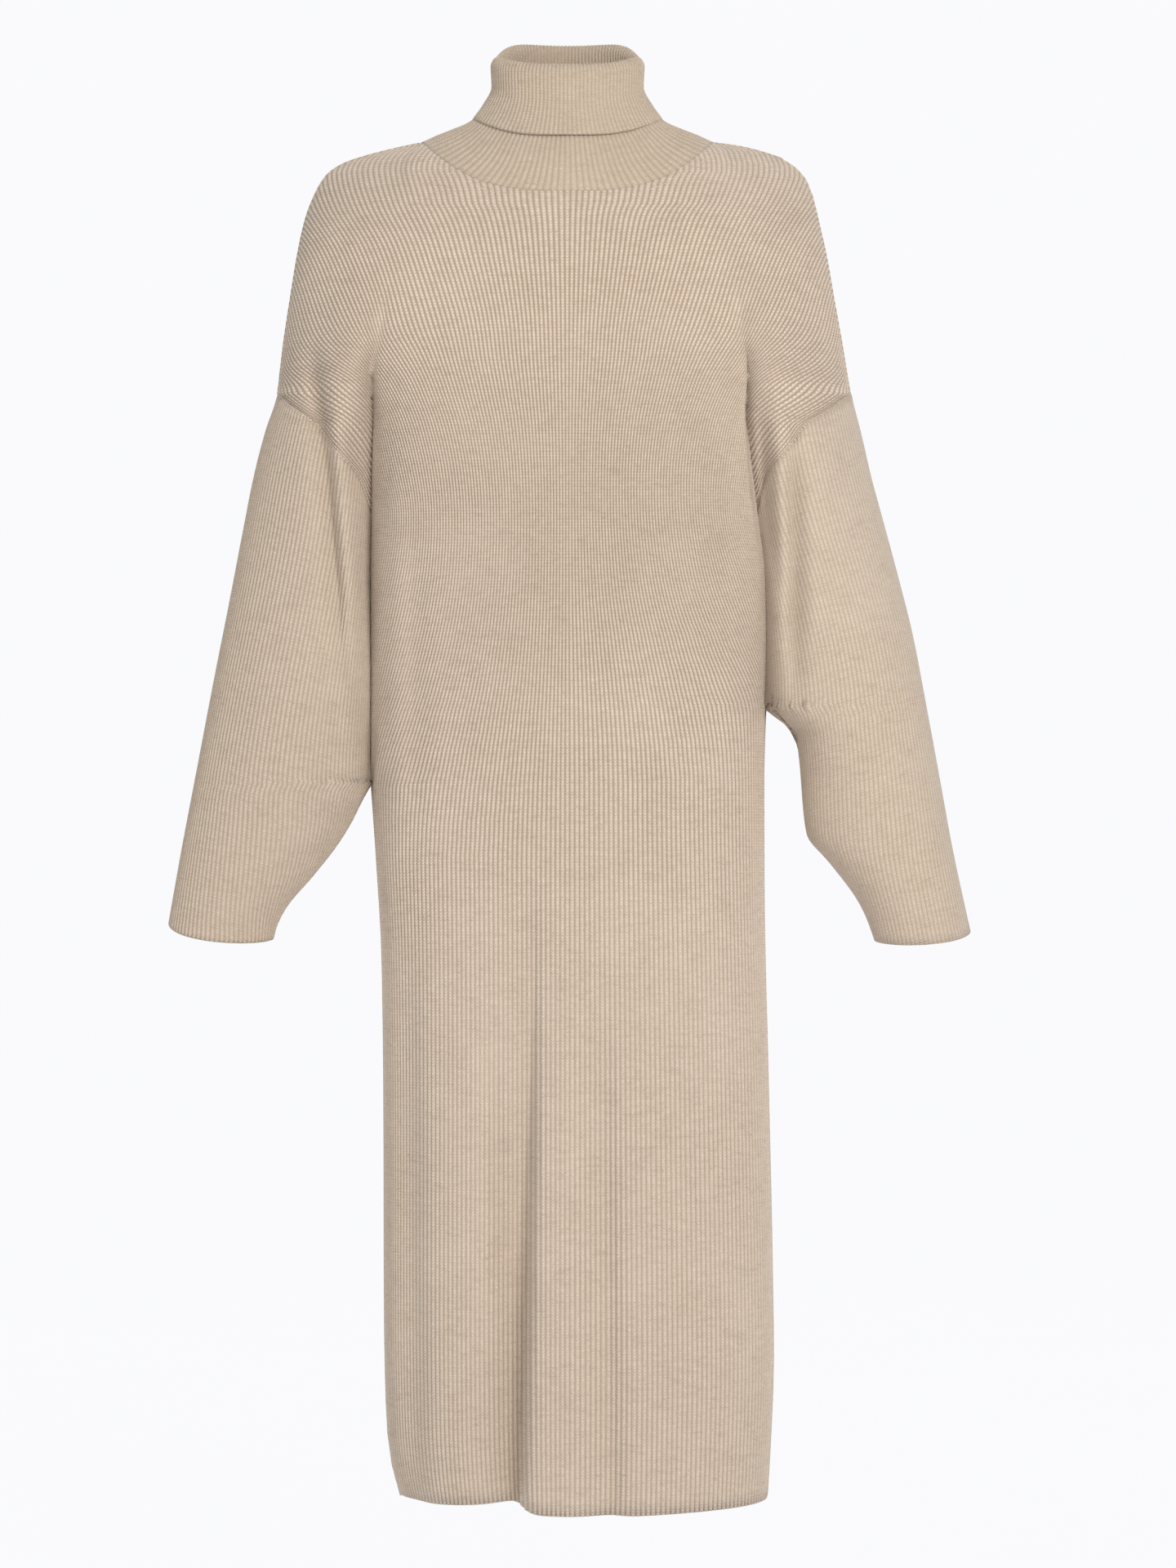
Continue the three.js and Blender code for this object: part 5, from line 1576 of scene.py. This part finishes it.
@dataclass
class Studio:
    """Pale floor and backdrop, soft lights and the photograph's camera."""

    distance: float = 4.5
    centre: tuple[float, float] = (0.0175, -0.5474)
    lens: float = 120.5
    floor: float = -1.32
    ambient: float = 0.37
    reach: float = 20.0
    wall: float = 7.0
    bend: float = 2.0
    height: float = 9.0
    aim: tuple[float, float, float] = (0.0, 0.0, -0.55)

    def build(self) -> None:
        """Build the stage, the lights and the camera."""
        self.backdrop()
        self.light("key", (1.4, -3.3, 1.1), 1.4, 96.0, (1.0, 0.985, 0.965))
        self.light("fill", (-2.1, -3.0, 0.5), 2.4, 27.0, (0.98, 0.99, 1.0))
        self.light("back_wash", (0.0, 2.4, 1.6), 2.6, 30.0, (1.0, 1.0, 1.0))
        world = bpy.data.worlds.new("soft_room")
        bpy.context.scene.world = world
        world.use_nodes = True
        sky = world.node_tree.nodes["Background"]
        sky.inputs["Color"].default_value = (1.0, 1.0, 1.0, 1.0)
        sky.inputs["Strength"].default_value = self.ambient
        camera = bpy.data.cameras.new("camera")
        camera.lens = self.lens
        camera.sensor_width = 36.0
        holder = put("camera", camera)
        holder.location = (self.centre[0], -self.distance, self.centre[1])
        holder.rotation_euler = (math.pi / 2, 0.0, 0.0)
        bpy.context.scene.camera = holder
        bpy.context.scene.view_settings.view_transform = "Standard"

    def backdrop(self) -> None:
        """Floor that curves up into a wall far behind, swept as a profile across."""
        bend = np.linspace(0, math.pi / 2, 17)
        far, radius = self.wall - self.bend, self.bend
        y = np.concatenate([[-self.reach], far + radius * np.sin(bend), [self.wall]])
        z = np.concatenate([[0.0], radius - radius * np.cos(bend), [self.height]]) + self.floor
        across = np.array([-self.reach, self.reach])
        points = np.stack([np.repeat(across, len(y)), np.tile(y, 2), np.tile(z, 2)], 1)
        n = len(y)
        quads = [(i, i + n, i + n + 1, i + 1) for i in range(n - 1)]
        mesh = bpy.data.meshes.new("pale_floor")
        mesh.from_pydata(points.tolist(), [], quads)
        mesh.polygons.foreach_set("use_smooth", np.ones(len(quads), bool))
        shader = Shader("pale_paper")
        grain = shader.noise(shader.take("Object", "ShaderNodeTexCoord"), 3.0, 2.0)
        tone = shader.blend(grain, (0.012, 0.012, 0.012, 1.0), (0.018, 0.018, 0.018, 1.0))
        paper = shader.take(
            0, "ShaderNodeBsdfPrincipled", Base_Color=tone, Roughness=0.95, Specular_IOR_Level=0.0
        )
        glow = shader.take(0, "ShaderNodeEmission", Color=(0.945, 0.945, 0.963, 1.0), Strength=1.0)
        both = shader.take(0, "ShaderNodeAddShader", s0=paper, s1=glow)
        mesh.materials.append(shader.finish(both))
        put("pale_floor", mesh)

    def light(
        self, name: str, place: Sequence[float], size: float, power: float, colour: Sequence[float]
    ) -> None:
        """Add a square area light that faces the middle of the garment.

        Args:
            name: the light's name.
            place: where it stands.
            size: its side in metres.
            power: its power in watts.
            colour: its colour.
        """
        data = bpy.data.lights.new(name, "AREA")
        data.size, data.energy, data.color = size, power, colour
        holder = put(name, data)
        holder.location = place
        x, y, z = np.array(self.aim) - np.array(place)
        tilt, turn = math.atan2(math.hypot(x, y), -z), math.atan2(y, x) - math.pi / 2
        holder.rotation_euler = (tilt, 0.0, turn)


class Dress:
    """The whole garment: panels, sleeves, collar and the sewing between them."""

    def __init__(self) -> None:
        """Start from the cut."""
        self.form = Form(Cut())
        self.panels = {face: Panel(self.form, face) for face in Face}
        self.yarns: dict[YarnUse, bpy.types.Material] = {}

    def finish_piece(
        self, piece: bpy.types.Object, yarn: YarnUse, node: str | None = None
    ) -> bpy.types.Object:
        """Dress a piece in its yarn, let it ride on the root and stand for its solid.

        Args:
            piece: the piece.
            yarn: its yarn.
            node: the solid that it stands for.

        Returns:
            The piece.
        """
        if yarn not in self.yarns:
            self.yarns[yarn] = yarn.value.dress()
        piece.data.materials.append(self.yarns[yarn])
        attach(piece, "root")
        if node:
            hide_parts(node)
        LOG.info("%s: %d triangles", piece.name, len(piece.data.polygons))
        return piece

    def build(self) -> None:
        """Build every piece."""
        for face, panel in self.panels.items():
            node = f"{face.value}_panel"
            piece = self.finish_piece(panel.build(), YarnUse.BODY, node)
        for side in Side:
            edges = {face: panel.edges[side] for face, panel in self.panels.items()}
            sleeve, node = Sleeve(self.form, side, edges), f"sleeve_{side.label}"
            piece = self.finish_piece(sleeve.build(), YarnUse.SLEEVE, node)
        collar = RollCollar(self.form)
        piece = self.finish_piece(collar.build(), YarnUse.COLLAR, "roll_collar")
        for row in self.seams():
            self.finish_piece(row.build(), YarnUse.SEWING)

    def seams(self) -> list[Stitching]:
        """Lines of linking: the neck, the armholes, the shoulders, the sides and the slopes.

        Returns:
            The rows.
        """
        cut, form = self.form.cut, self.form
        front, back = self.panels[Face.FRONT], self.panels[Face.BACK]
        rows = [Stitching("neck_linking", np.concatenate([front.neck, back.neck[::-1]]), True)]
        for side in Side:
            ring = np.concatenate([front.edges[side], back.edges[side][::-1]])
            rows.append(Stitching(f"armhole_linking_{side.label}", ring, True, radius=0.8))
            line = form.rib_start(side, np.linspace(cut.ribs_neck, cut.ribs_panel, 120), Face.FRONT)
            rows.append(Stitching(f"shoulder_linking_{side.label}", line))
            rib = np.array([float(cut.ribs_side)])
            line = form.lower(side, rib, np.linspace(0, 1, 80), Face.FRONT)[:, 0]
            rows.append(Stitching(f"side_linking_{side.label}", line))
            for face in Face:
                line = self.fashioned_line(side, face)
                rows.append(Stitching(f"fashioned_{face.value}_{side.label}", line, rise=1.15))
        return rows

    def fashioned_line(self, side: Side, face: Face) -> Array:
        """Line of the fashioned stitches, at one distance under the neck edge's slope.

        Args:
            side: wearer's side.
            face: front or back.

        Returns:
            Points along the line.
        """
        form, cut = self.form, self.form.cut
        rib = np.linspace(*cut.fashioned, 60)
        drop = form.rib_start(side, rib, face)[:, 2] - form.rib_waist(side, rib)
        share = (cut.fashioned_width / drop) ** (1 / form.row_power)
        places = zip(rib[:, None], share[:, None])
        return np.stack([form.upper(side, one, at, face)[0, 0] for one, at in places])


def main() -> None:
    """Build the garment and its studio."""
    logging.basicConfig(level=logging.INFO, format="%(name)s: %(message)s")
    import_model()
    Dress().build()
    Studio().build()


if __name__ == "__main__":
    main()
